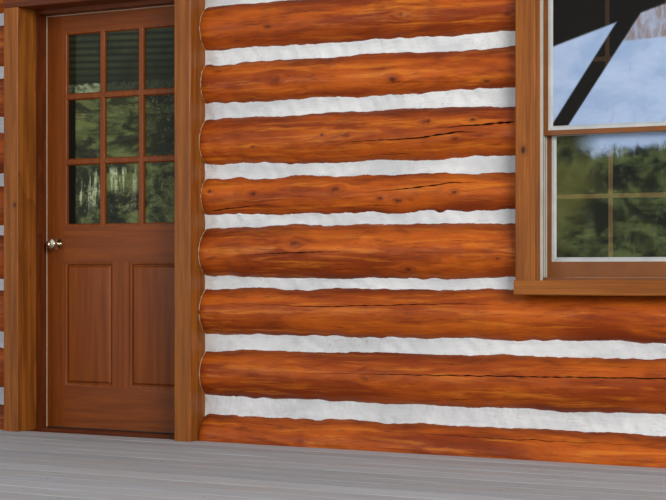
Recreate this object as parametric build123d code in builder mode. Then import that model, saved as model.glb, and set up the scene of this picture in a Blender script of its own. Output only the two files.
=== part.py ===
"""Porch front of a log cabin: a peeled-log wall with mortar chinking, an entrance door
with glazed lites, a double-hung window and the porch deck in front of them.

Millimetres. X runs along the wall to the right as seen from the porch, -Y faces the
porch, Z is up. The origin is on the ground, in the wall's centre plane, at mid-length.
"""
from math import sqrt
import os

from build123d import *

os.makedirs("parts", exist_ok=True)

# Lengths along the wall, from its left end
left_run = 600.0
post_width = 89.0
slab_width = 914.4
latch_gap = 6.5
hinge_gap = 5.0
middle_run = 1620.0
window_opening = 820.0
right_run = 600.0

# Heights, deck and ground
joist_depth = 235.0
deck_board_thickness = 38.0
door_step = 12.0
slab_height = 2032.0
head_gap = 5.0
head_beam_height = 91.0
head_beam_rise = 15.0
window_sill_height = 730.0
window_sill_thickness = 60.0
window_head_height = 1937.0
window_head_thickness = 108.0
plate_top_height = 2495.0

# Depths across the wall
post_front = -188.0
post_depth = 140.0
wall_back = 115.0
mortar_face = 66.0
mortar_thickness = 25.0
slab_front = 24.0
slab_thickness = 44.0
seam = 0.3

# Mortar joints, bottom to top: the middle height above the door's foot at the left run,
# beside the door, beside the window and at the right run, and the height of the joint
mortar_joints = (
    (-145, -145, -145, -145, 60),
    (151, 150, 152, 155, 90),
    (425, 440, 456, 450, 76),
    (700, 715, 711, 716, 58),
    (970, 996, 996, 990, 62),
    (1222, 1226, 1215, 1228, 73),
    (1492, 1502, 1499, 1490, 80),
    (1752, 1754, 1738, 1750, 72),
    (2014, 2014, 2010, 2012, 62),
    (2285, 2285, 2285, 2285, 70),
    (2555, 2555, 2555, 2555, 70),
)
sill_log_radius = 129.0
door_sill_bed = 9.0
# How far each log's middle swells beyond a straight taper
log_swell = (3, 3, 6, 3, 7, 4, 8, 5, 4, 6, 5)
# A log's profile is drawn longer than the log by this share at each end, then sawn off
log_overrun = 0.02

# Places worked out from the sizes above
door_opening = slab_width + latch_gap + hinge_gap
wall_length = (left_run + post_width + door_opening + post_width + middle_run
               + post_width + window_opening + post_width + right_run)
wall_left = -wall_length / 2
wall_right = wall_length / 2
left_end = wall_left + left_run
door_left = left_end + post_width
door_right = door_left + door_opening
middle_left = door_right + post_width
middle_right = middle_left + middle_run
window_left = middle_right + post_width
window_right = window_left + window_opening
right_start = window_right + post_width

deck_top = joist_depth + deck_board_thickness
door_foot = deck_top + door_step
slab_left = door_left + latch_gap
slab_right = slab_left + slab_width
slab_back = slab_front + slab_thickness
slab_top = door_foot + slab_height
rabbet_top = slab_top + head_gap
head_beam_under = slab_top + head_beam_rise
head_beam_top = head_beam_under + head_beam_height
window_sill_top = door_foot + window_sill_height
window_sill_under = window_sill_top - window_sill_thickness
window_head_under = door_foot + window_head_height
window_head_top = window_head_under + window_head_thickness
plate_top = door_foot + plate_top_height
post_back = post_front + post_depth
door_sill_under = sill_log_radius - door_sill_bed
# Notches run right through a log
through_log = (-2 * sill_log_radius, 2 * sill_log_radius)


def facing(y):
    """Plane across the wall's depth at y: sketches lie in X and Z, and face the porch."""
    return Plane.XZ.offset(-y)


def squared(x_span, y_span, z_span, mode=Mode.ADD):
    """Squared timber that fills three spans."""
    middle = [(low + high) / 2 for low, high in (x_span, y_span, z_span)]
    size = [high - low for low, high in (x_span, y_span, z_span)]
    with Locations(tuple(middle)):
        Box(*size, mode=mode)


def finish(node, name):
    """Labels a node and writes it to its own file."""
    node.part.label = name
    export_step(node.part, f"parts/{name}.step")


def log_end(course, column):
    """Axis height and radius of a log where its mortar joints have these heights."""
    if course == 0:
        return 0.0, sill_log_radius
    lower = mortar_joints[course - 1]
    upper = mortar_joints[course]
    foot = door_foot + lower[column] + lower[4] / 2
    crown = door_foot + upper[column] - upper[4] / 2
    half = (crown - foot) / 2
    return foot + half, sqrt(half ** 2 + mortar_face ** 2)


def peeled_log(course, x_span, columns, grow=0.0):
    """One log: an arc from butt radius to tip radius, revolved and sawn off upright."""
    butt_z, butt_r = log_end(course, columns[0])
    tip_z, tip_r = log_end(course, columns[1])
    x_butt, x_tip = x_span
    run = Vector(x_tip - x_butt, 0, tip_z - butt_z)
    overrun = log_overrun * run.length
    start = Vector(x_butt, 0, butt_z) - run.normalized() * overrun
    length = run.length + 2 * overrun
    waist = (butt_r + tip_r) / 2 + log_swell[course] + grow
    with BuildPart() as log:
        with BuildSketch(Plane(origin=start, x_dir=run, z_dir=(0, -1, 0))):
            with BuildLine():
                Line((0, 0), (0, butt_r + grow))
                ThreePointArc((0, butt_r + grow), (length / 2, waist), (length, tip_r + grow))
                Line((length, tip_r + grow), (length, 0))
                Line((length, 0), (0, 0))
            make_face()
        revolve(axis=Axis(start, run))
        split(bisect_by=Plane.YZ.offset(x_butt), keep=Keep.TOP)
        split(bisect_by=Plane.YZ.offset(x_tip), keep=Keep.BOTTOM)
    return log.part


# Where each course has logs: the span along the wall and the columns of its two ends
left_span = ((wall_left, left_end), (0, 0))
middle_span = ((middle_left, middle_right), (1, 2))
right_span = ((right_start, wall_right), (3, 3))
under_window_span = ((middle_left, wall_right), (1, 3))
full_span = ((wall_left, wall_right), (0, 3))
low_courses = (1, 2, 3)
high_courses = (4, 5, 6, 7, 8)
header_course = 9
plate_course = 10


def right_hand_log(course, grow=0.0):
    """The log beside the door on the window's side, long under the window."""
    span = under_window_span if course in low_courses else middle_span
    return peeled_log(course, *span, grow)


# Sill course: a half log bedded flat, notched for the door sill
with BuildPart() as sill_log:
    add(peeled_log(0, *full_span))
    split(bisect_by=Plane.XY, keep=Keep.TOP)
    squared((left_end, middle_left), through_log, (door_sill_under, deck_top), Mode.SUBTRACT)
finish(sill_log, "sill_half_log")

with BuildPart() as left_logs:
    for course in low_courses + high_courses:
        add(peeled_log(course, *left_span))
finish(left_logs, "left_wall_logs")

with BuildPart() as right_logs:
    for course in high_courses:
        add(peeled_log(course, *right_span))
finish(right_logs, "right_wall_logs")

for course in low_courses + high_courses:
    with BuildPart() as wall_log:
        add(right_hand_log(course))
        if course == low_courses[-1]:
            squared((middle_right, right_start), through_log,
                    (window_sill_under, window_sill_top), Mode.SUBTRACT)
    finish(wall_log, f"wall_log_{course}")

# Header log, notched over the door and the window
with BuildPart() as header_log:
    add(peeled_log(header_course, *full_span))
    squared((left_end, middle_left), through_log,
            (head_beam_under - head_beam_height, head_beam_top), Mode.SUBTRACT)
    squared((middle_right, right_start), through_log,
            (window_head_under, window_head_top), Mode.SUBTRACT)
finish(header_log, "header_log")

with BuildPart() as plate_log:
    add(peeled_log(plate_course, *full_span))
    split(bisect_by=Plane.XY.offset(plate_top), keep=Keep.BOTTOM)
finish(plate_log, "top_plate_log")


def mortar_skins(x_span, lower_log, upper_log, lower_z, upper_z):
    """Mortar between two logs: a skin on each face of the wall, coped to both logs."""
    with BuildPart() as skins:
        squared(x_span, (-mortar_face, -mortar_face + mortar_thickness), (lower_z, upper_z))
        squared(x_span, (mortar_face - mortar_thickness, mortar_face), (lower_z, upper_z))
        add(lower_log, mode=Mode.SUBTRACT)
        add(upper_log, mode=Mode.SUBTRACT)
    return skins.part


def axis_height(course, column):
    """Height of a log's axis above the ground at one column."""
    return log_end(course, column)[0]


def grown(course, side):
    """A log with the bedding seam added all round, on one side of the door."""
    if course in (0, header_course, plate_course):
        return peeled_log(course, *full_span, seam)
    if side == "left":
        return peeled_log(course, *left_span, seam)
    if side == "right" and course in high_courses:
        return peeled_log(course, *right_span, seam)
    return right_hand_log(course, seam)


def chinking(name, x_span, joints, side, column):
    """One node of mortar: two skins for each joint named, from log axis to log axis."""
    with BuildPart() as all_skins:
        for joint in joints:
            add(mortar_skins(x_span, grown(joint, side), grown(joint + 1, side),
                             axis_height(joint, column) + seam, axis_height(joint + 1, column)))
    finish(all_skins, name)


joints_below_sill = range(low_courses[-1])
joints_beside_window = range(low_courses[-1], header_course)
chinking("chinking_left", left_span[0], range(header_course), "left", 0)
chinking("chinking_under_window", under_window_span[0], joints_below_sill, "middle", 1)
chinking("chinking_middle", middle_span[0], joints_beside_window, "middle", 1)
chinking("chinking_right", right_span[0], joints_beside_window, "right", 3)
chinking("chinking_top", full_span[0], (header_course,), "left", 0)

# Door posts, head beam and sill
post_ease = 4.0


def post_pair(x_starts, y_span, z_span):
    """Two standing timbers, one each side of an opening, with eased front edges."""
    with BuildPart() as posts:
        with BuildSketch(Plane.XY.offset(z_span[0])):
            with Locations(*[(x + post_width / 2, (y_span[0] + y_span[1]) / 2) for x in x_starts]):
                Rectangle(post_width, y_span[1] - y_span[0])
        extrude(amount=z_span[1] - z_span[0])
        chamfer(posts.edges().filter_by(Axis.Z).group_by(Axis.Y)[0], post_ease)
    return posts


finish(post_pair((left_end, door_right), (post_front, post_back), (deck_top, head_beam_under)),
       "door_posts")

with BuildPart() as head_beam:
    squared((left_end, middle_left), (post_front, post_back), (head_beam_under, head_beam_top))
    chamfer(head_beam.edges().filter_by(Axis.X).group_by(Axis.Y)[0], post_ease)
finish(head_beam, "door_head_beam")

deck_gap = 0.5
deck_back = -sill_log_radius - log_swell[0] - deck_gap
with BuildPart() as door_sill:
    squared((left_end, middle_left), (deck_back, wall_back), (door_sill_under, deck_top))
finish(door_sill, "door_sill")

# Door frame: rabbeted timber behind the posts, with a stop on the porch side
stop_thickness = 10.0
stop_gap = 5.0
leaf_proud = 2.0
reveal_setback = 32.0
stop_back = slab_front - stop_gap
rabbet_back = slab_back - leaf_proud
between_stops = (door_left + stop_thickness, door_right - stop_thickness)

with BuildPart() as frame_legs:
    for face, outward in ((door_left, -1), (door_right, 1)):
        with BuildSketch(Plane.XY.offset(deck_top)):
            with BuildLine():
                Polyline(
                    (face + outward * post_width, post_back),
                    (face - outward * stop_thickness, post_back),
                    (face - outward * stop_thickness, stop_back),
                    (face, stop_back),
                    (face, rabbet_back),
                    (face + outward * reveal_setback, rabbet_back),
                    (face + outward * reveal_setback, wall_back),
                    (face + outward * post_width, wall_back),
                    close=True,
                )
            make_face()
        extrude(amount=rabbet_top - deck_top)
finish(frame_legs, "door_frame_legs")

with BuildPart() as frame_head:
    with BuildSketch(Plane.YZ.offset(left_end)):
        with BuildLine():
            Polyline((post_back, rabbet_top), (wall_back, rabbet_top),
                     (wall_back, head_beam_top), (post_back, head_beam_top), close=True)
        make_face()
    extrude(amount=middle_left - left_end)
    squared(between_stops, (post_back, stop_back), (rabbet_top - stop_thickness, rabbet_top))
finish(frame_head, "door_frame_head")

threshold_rise = 7.0
threshold_nosing = 20.0
threshold_setback = 15.0
threshold_bevel = 4.0
with BuildPart() as threshold:
    squared(between_stops, (post_back - threshold_nosing, wall_back - threshold_setback),
            (deck_top, deck_top + threshold_rise))
    chamfer(threshold.edges().filter_by(Axis.X).group_by(Axis.Z)[-1], threshold_bevel)
finish(threshold, "door_threshold")

# Door leaf: stiles and rails, nine lites over two raised panels
stile_width = 110.0
top_rail_height = 90.0
bottom_rail_height = 202.0
lock_rail_foot = 811.0
lock_rail_height = 171.0
mullion_width = 97.0
glass_thickness = 8.0
lite_bar = 33.0
lite_bead = 16.0
bar_setback = 2.0
lite_columns = 3
lite_rows = 3
knob_backset = 70.0
knob_height = 900.0
spindle_radius = 7.0
running_gap = 0.3

inner_left = slab_left + stile_width
inner_right = slab_right - stile_width
slab_middle = (slab_left + slab_right) / 2
bottom_rail_top = door_foot + bottom_rail_height
lock_rail_under = door_foot + lock_rail_foot
lock_rail_top = lock_rail_under + lock_rail_height
top_rail_under = slab_top - top_rail_height
knob_x = slab_left + knob_backset
knob_z = door_foot + knob_height
slab_depth = (slab_front, slab_back)


def spindle_hole(radius):
    """A bore through the leaf on the knob's axis."""
    with BuildSketch(facing(slab_back)) as bore:
        with Locations((knob_x, knob_z)):
            Circle(radius)
    extrude(bore.sketch, amount=slab_thickness, mode=Mode.SUBTRACT)


with BuildPart() as stiles:
    squared((slab_left, inner_left), slab_depth, (door_foot, slab_top))
    squared((inner_right, slab_right), slab_depth, (door_foot, slab_top))
    spindle_hole(spindle_radius + running_gap)
finish(stiles, "door_stiles")

with BuildPart() as rails:
    squared((inner_left, inner_right), slab_depth, (top_rail_under, slab_top))
    squared((inner_left, inner_right), slab_depth, (lock_rail_under, lock_rail_top))
    squared((inner_left, inner_right), slab_depth, (door_foot, bottom_rail_top))
finish(rails, "door_rails")

mullion_span = (slab_middle - mullion_width / 2, slab_middle + mullion_width / 2)
with BuildPart() as mullion:
    squared(mullion_span, slab_depth, (bottom_rail_top, lock_rail_under))
finish(mullion, "door_mullion")

# Raised panels: a thin plate, a field that rises from it on both faces, and a planted
# moulding against the stiles and rails
panel_plate = 14.0
panel_field_rise = 11.0
panel_field_inset = 26.0
panel_field_slope = 22.0
moulding_width = 11.0
moulding_setback = 3.0
panel_plane = (slab_front + slab_back) / 2
panel_height = lock_rail_under - bottom_rail_top
panel_width = mullion_span[0] - inner_left
panel_centre_z = (lock_rail_under + bottom_rail_top) / 2
panel_centres = ((inner_left + mullion_span[0]) / 2, (inner_right + mullion_span[1]) / 2)

with BuildPart() as panels:
    for centre in panel_centres:
        squared((centre - panel_width / 2, centre + panel_width / 2),
                (panel_plane - panel_plate / 2, panel_plane + panel_plate / 2),
                (bottom_rail_top, lock_rail_under))
        for side in (-1, 1):
            plate_face = Plane(origin=(centre, panel_plane + side * panel_plate / 2, panel_centre_z),
                               x_dir=(-side, 0, 0), z_dir=(0, side, 0))
            with BuildSketch(plate_face):
                Rectangle(panel_width - 2 * panel_field_inset, panel_height - 2 * panel_field_inset)
            with BuildSketch(plate_face.offset(panel_field_rise)):
                Rectangle(panel_width - 2 * panel_field_inset - 2 * panel_field_slope,
                          panel_height - 2 * panel_field_inset - 2 * panel_field_slope)
            loft()
            with BuildSketch(plate_face):
                Rectangle(panel_width, panel_height)
                Rectangle(panel_width - 2 * moulding_width, panel_height - 2 * moulding_width,
                          mode=Mode.SUBTRACT)
            extrude(amount=(slab_thickness - panel_plate) / 2 - moulding_setback)
finish(panels, "door_panels")

# Lites: one sheet of glass between an outer and an inner grid of bars
lite_area_width = inner_right - inner_left
lite_area_height = top_rail_under - lock_rail_top
lite_width = (lite_area_width - 2 * lite_bead - (lite_columns - 1) * lite_bar) / lite_columns
lite_height = (lite_area_height - 2 * lite_bead - (lite_rows - 1) * lite_bar) / lite_rows
lite_centre_z = (top_rail_under + lock_rail_top) / 2
bar_depth = (slab_thickness - glass_thickness) / 2 - bar_setback
bar_slope = 4.0

with BuildPart() as lite_bars:
    for side in (-1, 1):
        glass_face = Plane(origin=(slab_middle, panel_plane + side * glass_thickness / 2, lite_centre_z),
                           x_dir=(-side, 0, 0), z_dir=(0, side, 0))
        with BuildSketch(glass_face):
            Rectangle(lite_area_width, lite_area_height)
        extrude(amount=bar_depth)
        for row in range(lite_rows):
            for column in range(lite_columns):
                place = ((column - (lite_columns - 1) / 2) * (lite_width + lite_bar),
                         (row - (lite_rows - 1) / 2) * (lite_height + lite_bar))
                with BuildSketch(glass_face):
                    with Locations(place):
                        Rectangle(lite_width, lite_height)
                with BuildSketch(glass_face.offset(bar_depth)):
                    with Locations(place):
                        Rectangle(lite_width + 2 * bar_slope, lite_height + 2 * bar_slope)
                loft(mode=Mode.SUBTRACT)
finish(lite_bars, "door_lite_bars")

with BuildPart() as door_glass:
    squared((inner_left, inner_right),
            (panel_plane - glass_thickness / 2, panel_plane + glass_thickness / 2),
            (lock_rail_top, top_rail_under))
finish(door_glass, "door_glass")

# Knob set: a rose on each face, and two knobs on one spindle that turns
rose_radius = 30.0
rose_thickness = 6.0
knob_neck_radius = 11.0
knob_radius = 27.0
knob_face_radius = 11.0
knob_belly_shift = 6.0
knob_reach = 62.0
knob_neck_length = 22.0

with BuildPart() as roses:
    for face_y in (slab_back + rose_thickness, slab_front):
        with BuildSketch(facing(face_y)):
            with Locations((knob_x, knob_z)):
                Circle(rose_radius)
                Circle(spindle_radius + running_gap, mode=Mode.SUBTRACT)
        extrude(amount=rose_thickness)
finish(roses, "knob_roses")

with BuildPart() as knob:
    half_leaf = slab_thickness / 2
    neck_start = half_leaf + rose_thickness + running_gap
    neck_end = half_leaf + knob_neck_length
    knob_end = half_leaf + knob_reach
    with BuildSketch(Plane(origin=(knob_x, panel_plane, knob_z), x_dir=(0, 1, 0), z_dir=(0, 0, 1))):
        with BuildLine():
            Line((0, 0), (-knob_end, 0))
            Line((-knob_end, 0), (-knob_end, knob_face_radius))
            ThreePointArc((-knob_end, knob_face_radius),
                          (-(neck_end + knob_end) / 2 - knob_belly_shift, knob_radius),
                          (-neck_end, knob_neck_radius))
            Line((-neck_end, knob_neck_radius), (-neck_start, knob_neck_radius))
            Line((-neck_start, knob_neck_radius), (-neck_start, spindle_radius))
            Line((-neck_start, spindle_radius), (0, spindle_radius))
            mirror(about=Plane.YZ)
        make_face()
    revolve(axis=Axis((knob_x, panel_plane, knob_z), (0, 1, 0)))
finish(knob, "door_knob")

# Butt hinges on the inner face at the right-hand edge
hinge_heights = (180.0, 1016.0, 1852.0)
hinge_leaf_height = 102.0
hinge_leaf_width = 30.0
hinge_leaf_thickness = 2.0
hinge_knuckle_radius = 6.5
hinge_pin_radius = 3.0
hinge_pin_gap = 0.08
hinge_knuckles = 5
knuckle_gap = 0.5
hinge_axis_reach = 7.0
hinge_axis_x = slab_right + hinge_gap / 2
hinge_axis_y = slab_back + hinge_axis_reach
knuckle_height = hinge_leaf_height / hinge_knuckles


def on_hinge_axis(radius, z_span, mode=Mode.ADD):
    """An upright round on the hinge axis: a barrel segment, the pin or its bore."""
    with BuildSketch(Plane.XY.offset(z_span[0])) as round_section:
        with Locations((hinge_axis_x, hinge_axis_y)):
            Circle(radius)
    extrude(round_section.sketch, amount=z_span[1] - z_span[0], mode=mode)


def hinge_half(moving):
    """Three leaves of one side; the moving half has the even knuckles, bored for the pin."""
    if moving:
        plate = (slab_right, slab_right + hinge_leaf_thickness)
    else:
        plate = (door_right - hinge_leaf_thickness, door_right)
    with BuildPart() as half:
        for height in hinge_heights:
            centre_z = door_foot + height
            low = centre_z - hinge_leaf_height / 2
            high = centre_z + hinge_leaf_height / 2
            with BuildPart(mode=Mode.PRIVATE) as one:
                squared(plate, (slab_back - hinge_leaf_width, hinge_axis_y), (low, high))
                for index in range(hinge_knuckles):
                    band = (low + index * knuckle_height, low + (index + 1) * knuckle_height)
                    if (index % 2 == 1) == moving:
                        on_hinge_axis(hinge_knuckle_radius,
                                      (band[0] + knuckle_gap / 2, band[1] - knuckle_gap / 2))
                    else:
                        squared((slab_right, door_right),
                                (hinge_axis_y - hinge_knuckle_radius - knuckle_gap, hinge_axis_y),
                                (band[0] - knuckle_gap / 2, band[1] + knuckle_gap / 2), Mode.SUBTRACT)
                if moving:
                    on_hinge_axis(hinge_pin_radius + hinge_pin_gap, (low, high), Mode.SUBTRACT)
                else:
                    on_hinge_axis(hinge_pin_radius, (low, high))
            add(one.part)
    return half


finish(hinge_half(True), "hinge_leaves_door")
finish(hinge_half(False), "hinge_leaves_frame")

# Window: posts, sill and head timbers, tracks, frame, two sashes with glazing beads
window_frame_front = -135.0
window_frame_depth = 90.0
track_thickness = 12.0
sash_thickness = 32.0
sash_setback = 8.0
sash_gap = 4.0
sash_face = 20.0
top_rail_face = 16.0
bottom_rail_face = 64.0
sash_bead = 18.0
bead_depth = 9.0
bead_recess = 1.0
bead_slope = 7.0
sash_glass = 16.0
meeting_height = 1325.0
meeting_rail = 36.0
sill_nosing = 14.0

finish(post_pair((middle_right, window_right), (post_front, wall_back),
                 (window_sill_top, window_head_under)), "window_posts")

with BuildPart() as window_sill:
    squared((middle_right, right_start), (post_front - sill_nosing, wall_back),
            (window_sill_under, window_sill_top))
    chamfer(window_sill.edges().filter_by(Axis.X).group_by(Axis.Y)[0], post_ease)
finish(window_sill, "window_sill")

with BuildPart() as window_head:
    squared((middle_right, right_start), (post_front, wall_back), (window_head_under, window_head_top))
    chamfer(window_head.edges().filter_by(Axis.X).group_by(Axis.Y)[0], post_ease)
finish(window_head, "window_head_beam")

frame_depth = (window_frame_front, window_frame_front + window_frame_depth)
with BuildPart() as tracks:
    squared((window_left, window_left + track_thickness), frame_depth, (window_sill_top, window_head_under))
    squared((window_right - track_thickness, window_right), frame_depth,
            (window_sill_top, window_head_under))
finish(tracks, "window_tracks")

track_span = (window_left + track_thickness, window_right - track_thickness)
with BuildPart() as window_frame:
    squared(track_span, frame_depth, (window_sill_top, window_sill_top + track_thickness))
    squared(track_span, frame_depth, (window_head_under - track_thickness, window_head_under))
finish(window_frame, "window_frame_rails")

sash_left = track_span[0] + seam
sash_right = track_span[1] - seam
# Each sash: its foot, its top, its front face, and the faces of its lowest and top members
upper_sash = (door_foot + meeting_height, window_head_under - track_thickness - seam,
              window_frame_front + sash_setback, sash_face, top_rail_face)
lower_sash = (window_sill_top + track_thickness + seam, door_foot + meeting_height + meeting_rail,
              window_frame_front + sash_setback + sash_thickness + sash_gap,
              bottom_rail_face, sash_face)


def sash_opening(sash, inset=0.0):
    """Middle and size of the opening inside a sash's members, made smaller all round."""
    foot, crown, front, foot_face, crown_face = sash
    low = foot + foot_face + inset
    high = crown - crown_face - inset
    left = sash_left + sash_face + inset
    right = sash_right - sash_face - inset
    return ((left + right) / 2, (low + high) / 2), (right - left, high - low)


def sash_ring(sash):
    """A sash: a full-thickness ring with a lip behind the glass."""
    foot, crown, front = sash[:3]
    back = front + sash_thickness
    lip_depth = sash_thickness - bead_depth - sash_glass
    for depth, inset in ((sash_thickness, 0.0), (lip_depth, sash_bead)):
        hole_middle, hole_size = sash_opening(sash, inset)
        with BuildSketch(facing(back)) as ring:
            with Locations(((sash_left + sash_right) / 2, (foot + crown) / 2)):
                Rectangle(sash_right - sash_left, crown - foot)
            with Locations(hole_middle):
                Rectangle(*hole_size, mode=Mode.SUBTRACT)
        extrude(ring.sketch, amount=depth)


with BuildPart() as sash_pair:
    for sash in (upper_sash, lower_sash):
        sash_ring(sash)
finish(sash_pair, "window_sashes")

# Glazing beads: a pale ring in front of the glass whose inner face slopes to the pane
with BuildPart() as beads:
    for sash in (upper_sash, lower_sash):
        outer_middle, outer_size = sash_opening(sash)
        pane_middle, pane_size = sash_opening(sash, sash_bead)
        with BuildSketch(facing(sash[2] + bead_depth)):
            with Locations(outer_middle):
                Rectangle(*outer_size)
        extrude(amount=bead_depth - bead_recess)
        with BuildSketch(facing(sash[2] + bead_depth)):
            with Locations(pane_middle):
                Rectangle(*pane_size)
        with BuildSketch(facing(sash[2] + bead_recess)):
            with Locations(pane_middle):
                Rectangle(pane_size[0] + 2 * bead_slope, pane_size[1] + 2 * bead_slope)
        loft(mode=Mode.SUBTRACT)
finish(beads, "glazing_beads")

with BuildPart() as panes:
    for sash in (upper_sash, lower_sash):
        outer_middle, outer_size = sash_opening(sash)
        with BuildSketch(facing(sash[2] + bead_depth + sash_glass)):
            with Locations(outer_middle):
                Rectangle(*outer_size)
        extrude(amount=sash_glass)
finish(panes, "window_glass")

# Porch deck: boards along the wall on joists, a ledger and a rim
deck_board_width = 140.0
deck_board_gap = 6.0
deck_board_count = 16
joist_thickness = 38.0
joist_spacing = 400.0

deck_pitch = deck_board_width + deck_board_gap
deck_front = deck_back - deck_board_count * deck_pitch + deck_board_gap
wall_span = (wall_left, wall_right)

with BuildPart() as boards:
    for index in range(deck_board_count):
        board_back = deck_back - index * deck_pitch
        squared(wall_span, (board_back - deck_board_width, board_back), (joist_depth, deck_top))
finish(boards, "deck_boards")

with BuildPart() as ledger:
    squared(wall_span, (deck_back - joist_thickness, deck_back), (0, joist_depth))
finish(ledger, "deck_ledger")

with BuildPart() as rim:
    squared(wall_span, (deck_front, deck_front + joist_thickness), (0, joist_depth))
finish(rim, "deck_rim_board")

bay_count = round((wall_length - joist_thickness) / joist_spacing)
bay = (wall_length - joist_thickness) / bay_count
with BuildPart() as joists:
    for index in range(bay_count + 1):
        joist_left = wall_left + index * bay
        squared((joist_left, joist_left + joist_thickness),
                (deck_front + joist_thickness, deck_back - joist_thickness), (0, joist_depth))
finish(joists, "deck_joists")
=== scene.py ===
# %% [markdown]
# # Porch wall of a log cabin
# A wall of peeled logs with pale mortar between them, an entrance door with nine lites, a
# double-hung window and the porch deck. The solid model already holds every timber at its
# real size. This lesson dresses it: the logs get their hewn and knotty surface, the mortar
# its trowelled face and ragged edges, and every piece a material made of shader nodes.

# %% Load the frame
import math
from functools import partialmethod

import bpy
import numpy as np
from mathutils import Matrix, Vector


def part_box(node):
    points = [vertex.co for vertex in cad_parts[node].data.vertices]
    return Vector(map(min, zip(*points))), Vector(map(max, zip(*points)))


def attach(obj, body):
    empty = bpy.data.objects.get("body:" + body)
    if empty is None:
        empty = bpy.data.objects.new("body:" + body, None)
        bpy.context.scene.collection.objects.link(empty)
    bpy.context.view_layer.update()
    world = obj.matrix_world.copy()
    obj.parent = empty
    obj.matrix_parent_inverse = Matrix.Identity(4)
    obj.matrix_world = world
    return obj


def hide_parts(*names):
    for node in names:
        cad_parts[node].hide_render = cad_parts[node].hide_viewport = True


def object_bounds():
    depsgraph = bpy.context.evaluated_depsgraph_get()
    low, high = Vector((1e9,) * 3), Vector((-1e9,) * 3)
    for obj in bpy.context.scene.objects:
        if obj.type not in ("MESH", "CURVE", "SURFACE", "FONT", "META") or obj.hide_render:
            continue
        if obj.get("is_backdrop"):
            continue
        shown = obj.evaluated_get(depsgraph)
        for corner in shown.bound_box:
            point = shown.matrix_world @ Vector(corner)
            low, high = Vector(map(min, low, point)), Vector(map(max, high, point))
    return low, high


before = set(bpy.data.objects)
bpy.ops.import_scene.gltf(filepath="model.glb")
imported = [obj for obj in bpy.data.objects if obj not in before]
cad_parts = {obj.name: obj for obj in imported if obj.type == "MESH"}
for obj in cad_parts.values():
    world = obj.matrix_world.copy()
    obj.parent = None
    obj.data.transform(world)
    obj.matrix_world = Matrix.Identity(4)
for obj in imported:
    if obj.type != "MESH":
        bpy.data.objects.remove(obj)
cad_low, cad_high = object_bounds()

MM = 0.001
WALL, LEAF, KNOB = "cabin_front", "door_leaf", "knob"
print("nodes in the frame:", len(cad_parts))

# %% [markdown]
# ## Surfaces as arrays
# A peeled log, a strip of mortar and a deck board are all the same thing to Blender: a grid
# of points, row beside row, joined by quads. So the points are worked out as one numpy array
# and handed over in a single call. A part here is a small dictionary with points, faces and
# named marks, which become attributes that the materials read.

# %% Grids, tubes and pieces


def lattice(x, y, z):
    """A grid of points from three coordinates that are spread to one shape."""
    return np.stack(np.broadcast_arrays(x, y, z), -1)


def closed_tube(points, cap_rings=(), **marks):
    """A tube from a grid of shape rows, columns, 3: the rows close round the tube, and both
    end columns are capped by rings drawn in towards the middle of the rim."""
    rows, columns = points.shape[:2]
    all_points = [points.reshape(-1, 3)]
    all_marks = {name: [values.reshape(rows * columns, -1)] for name, values in marks.items()}
    here = np.arange(rows)[:, None] * columns + np.arange(columns - 1)
    beside = np.roll(here, -1, axis=0)
    faces = [np.stack([here, here + 1, beside + 1, beside], -1).reshape(-1, 4)]
    count = rows * columns
    for column, order in ((0, 1), (columns - 1, -1)):
        rim = points[:, column]
        middle = (rim.min(0) + rim.max(0)) / 2
        loops = [np.arange(rows) * columns + column]
        for share in (*cap_rings, 0.0):
            ring = middle + (rim - middle) * share if share else middle[None]
            loops.append(count + np.arange(len(ring)))
            all_points.append(ring)
            for name, values in marks.items():
                edge = values[:, column].reshape(rows, -1)
                all_marks[name].append(edge if share else edge.mean(0, keepdims=True))
            count += len(ring)
        centre = loops.pop()
        loops = np.array(loops)
        after = np.roll(loops, -1, axis=1)
        quads = np.stack([loops[1:], loops[:-1], after[:-1], after[1:]], -1).reshape(-1, 4)
        fan = np.stack([np.repeat(centre, rows), loops[-1], after[-1]], -1)
        faces += [quads[:, ::order], fan[:, ::order]]
    return {"points": np.concatenate(all_points), "faces": faces,
            "marks": {name: np.concatenate(values) for name, values in all_marks.items()}}


added_triangles = {}


def make_piece(name, parts, slot, material, *replaces, body=WALL, sharp_angle=38):
    """Joins parts in one mesh, with their marks as attributes, and rides it on a body."""
    starts = np.cumsum([0] + [len(part["points"]) for part in parts])
    points = np.concatenate([part["points"] for part in parts])
    faces = [face + start for part, start in zip(parts, starts) for face in part["faces"]]
    sizes = np.concatenate([np.full(len(face), face.shape[1]) for face in faces])
    corners = np.concatenate([face.ravel() for face in faces])
    mesh = bpy.data.meshes.new(name)
    mesh.vertices.add(len(points))
    mesh.vertices.foreach_set("co", points.astype(np.float32).ravel())
    mesh.loops.add(len(corners))
    mesh.loops.foreach_set("vertex_index", corners.astype(np.int32))
    mesh.polygons.add(len(sizes))
    mesh.polygons.foreach_set("loop_start", (np.cumsum(sizes) - sizes).astype(np.int32))
    mesh.update(calc_edges=True)
    mesh.validate()
    for mark in parts[0]["marks"]:
        values = np.concatenate([part["marks"][mark] for part in parts]).astype(np.float32)
        kind, field = ("FLOAT_VECTOR", "vector") if values.shape[1] == 3 else ("FLOAT", "value")
        mesh.attributes.new(mark, kind, "POINT").data.foreach_set(field, values.ravel())
    mesh.polygons.foreach_set("use_smooth", np.ones(len(sizes), bool))
    mesh.set_sharp_from_angle(angle=math.radians(sharp_angle))
    mesh.materials.append(material)
    piece = bpy.data.objects.new(name, mesh)
    bpy.context.scene.collection.objects.link(piece)
    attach(piece, body)
    if replaces:
        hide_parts(*replaces)
    added_triangles[name] = int((sizes - 2).sum())


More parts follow.
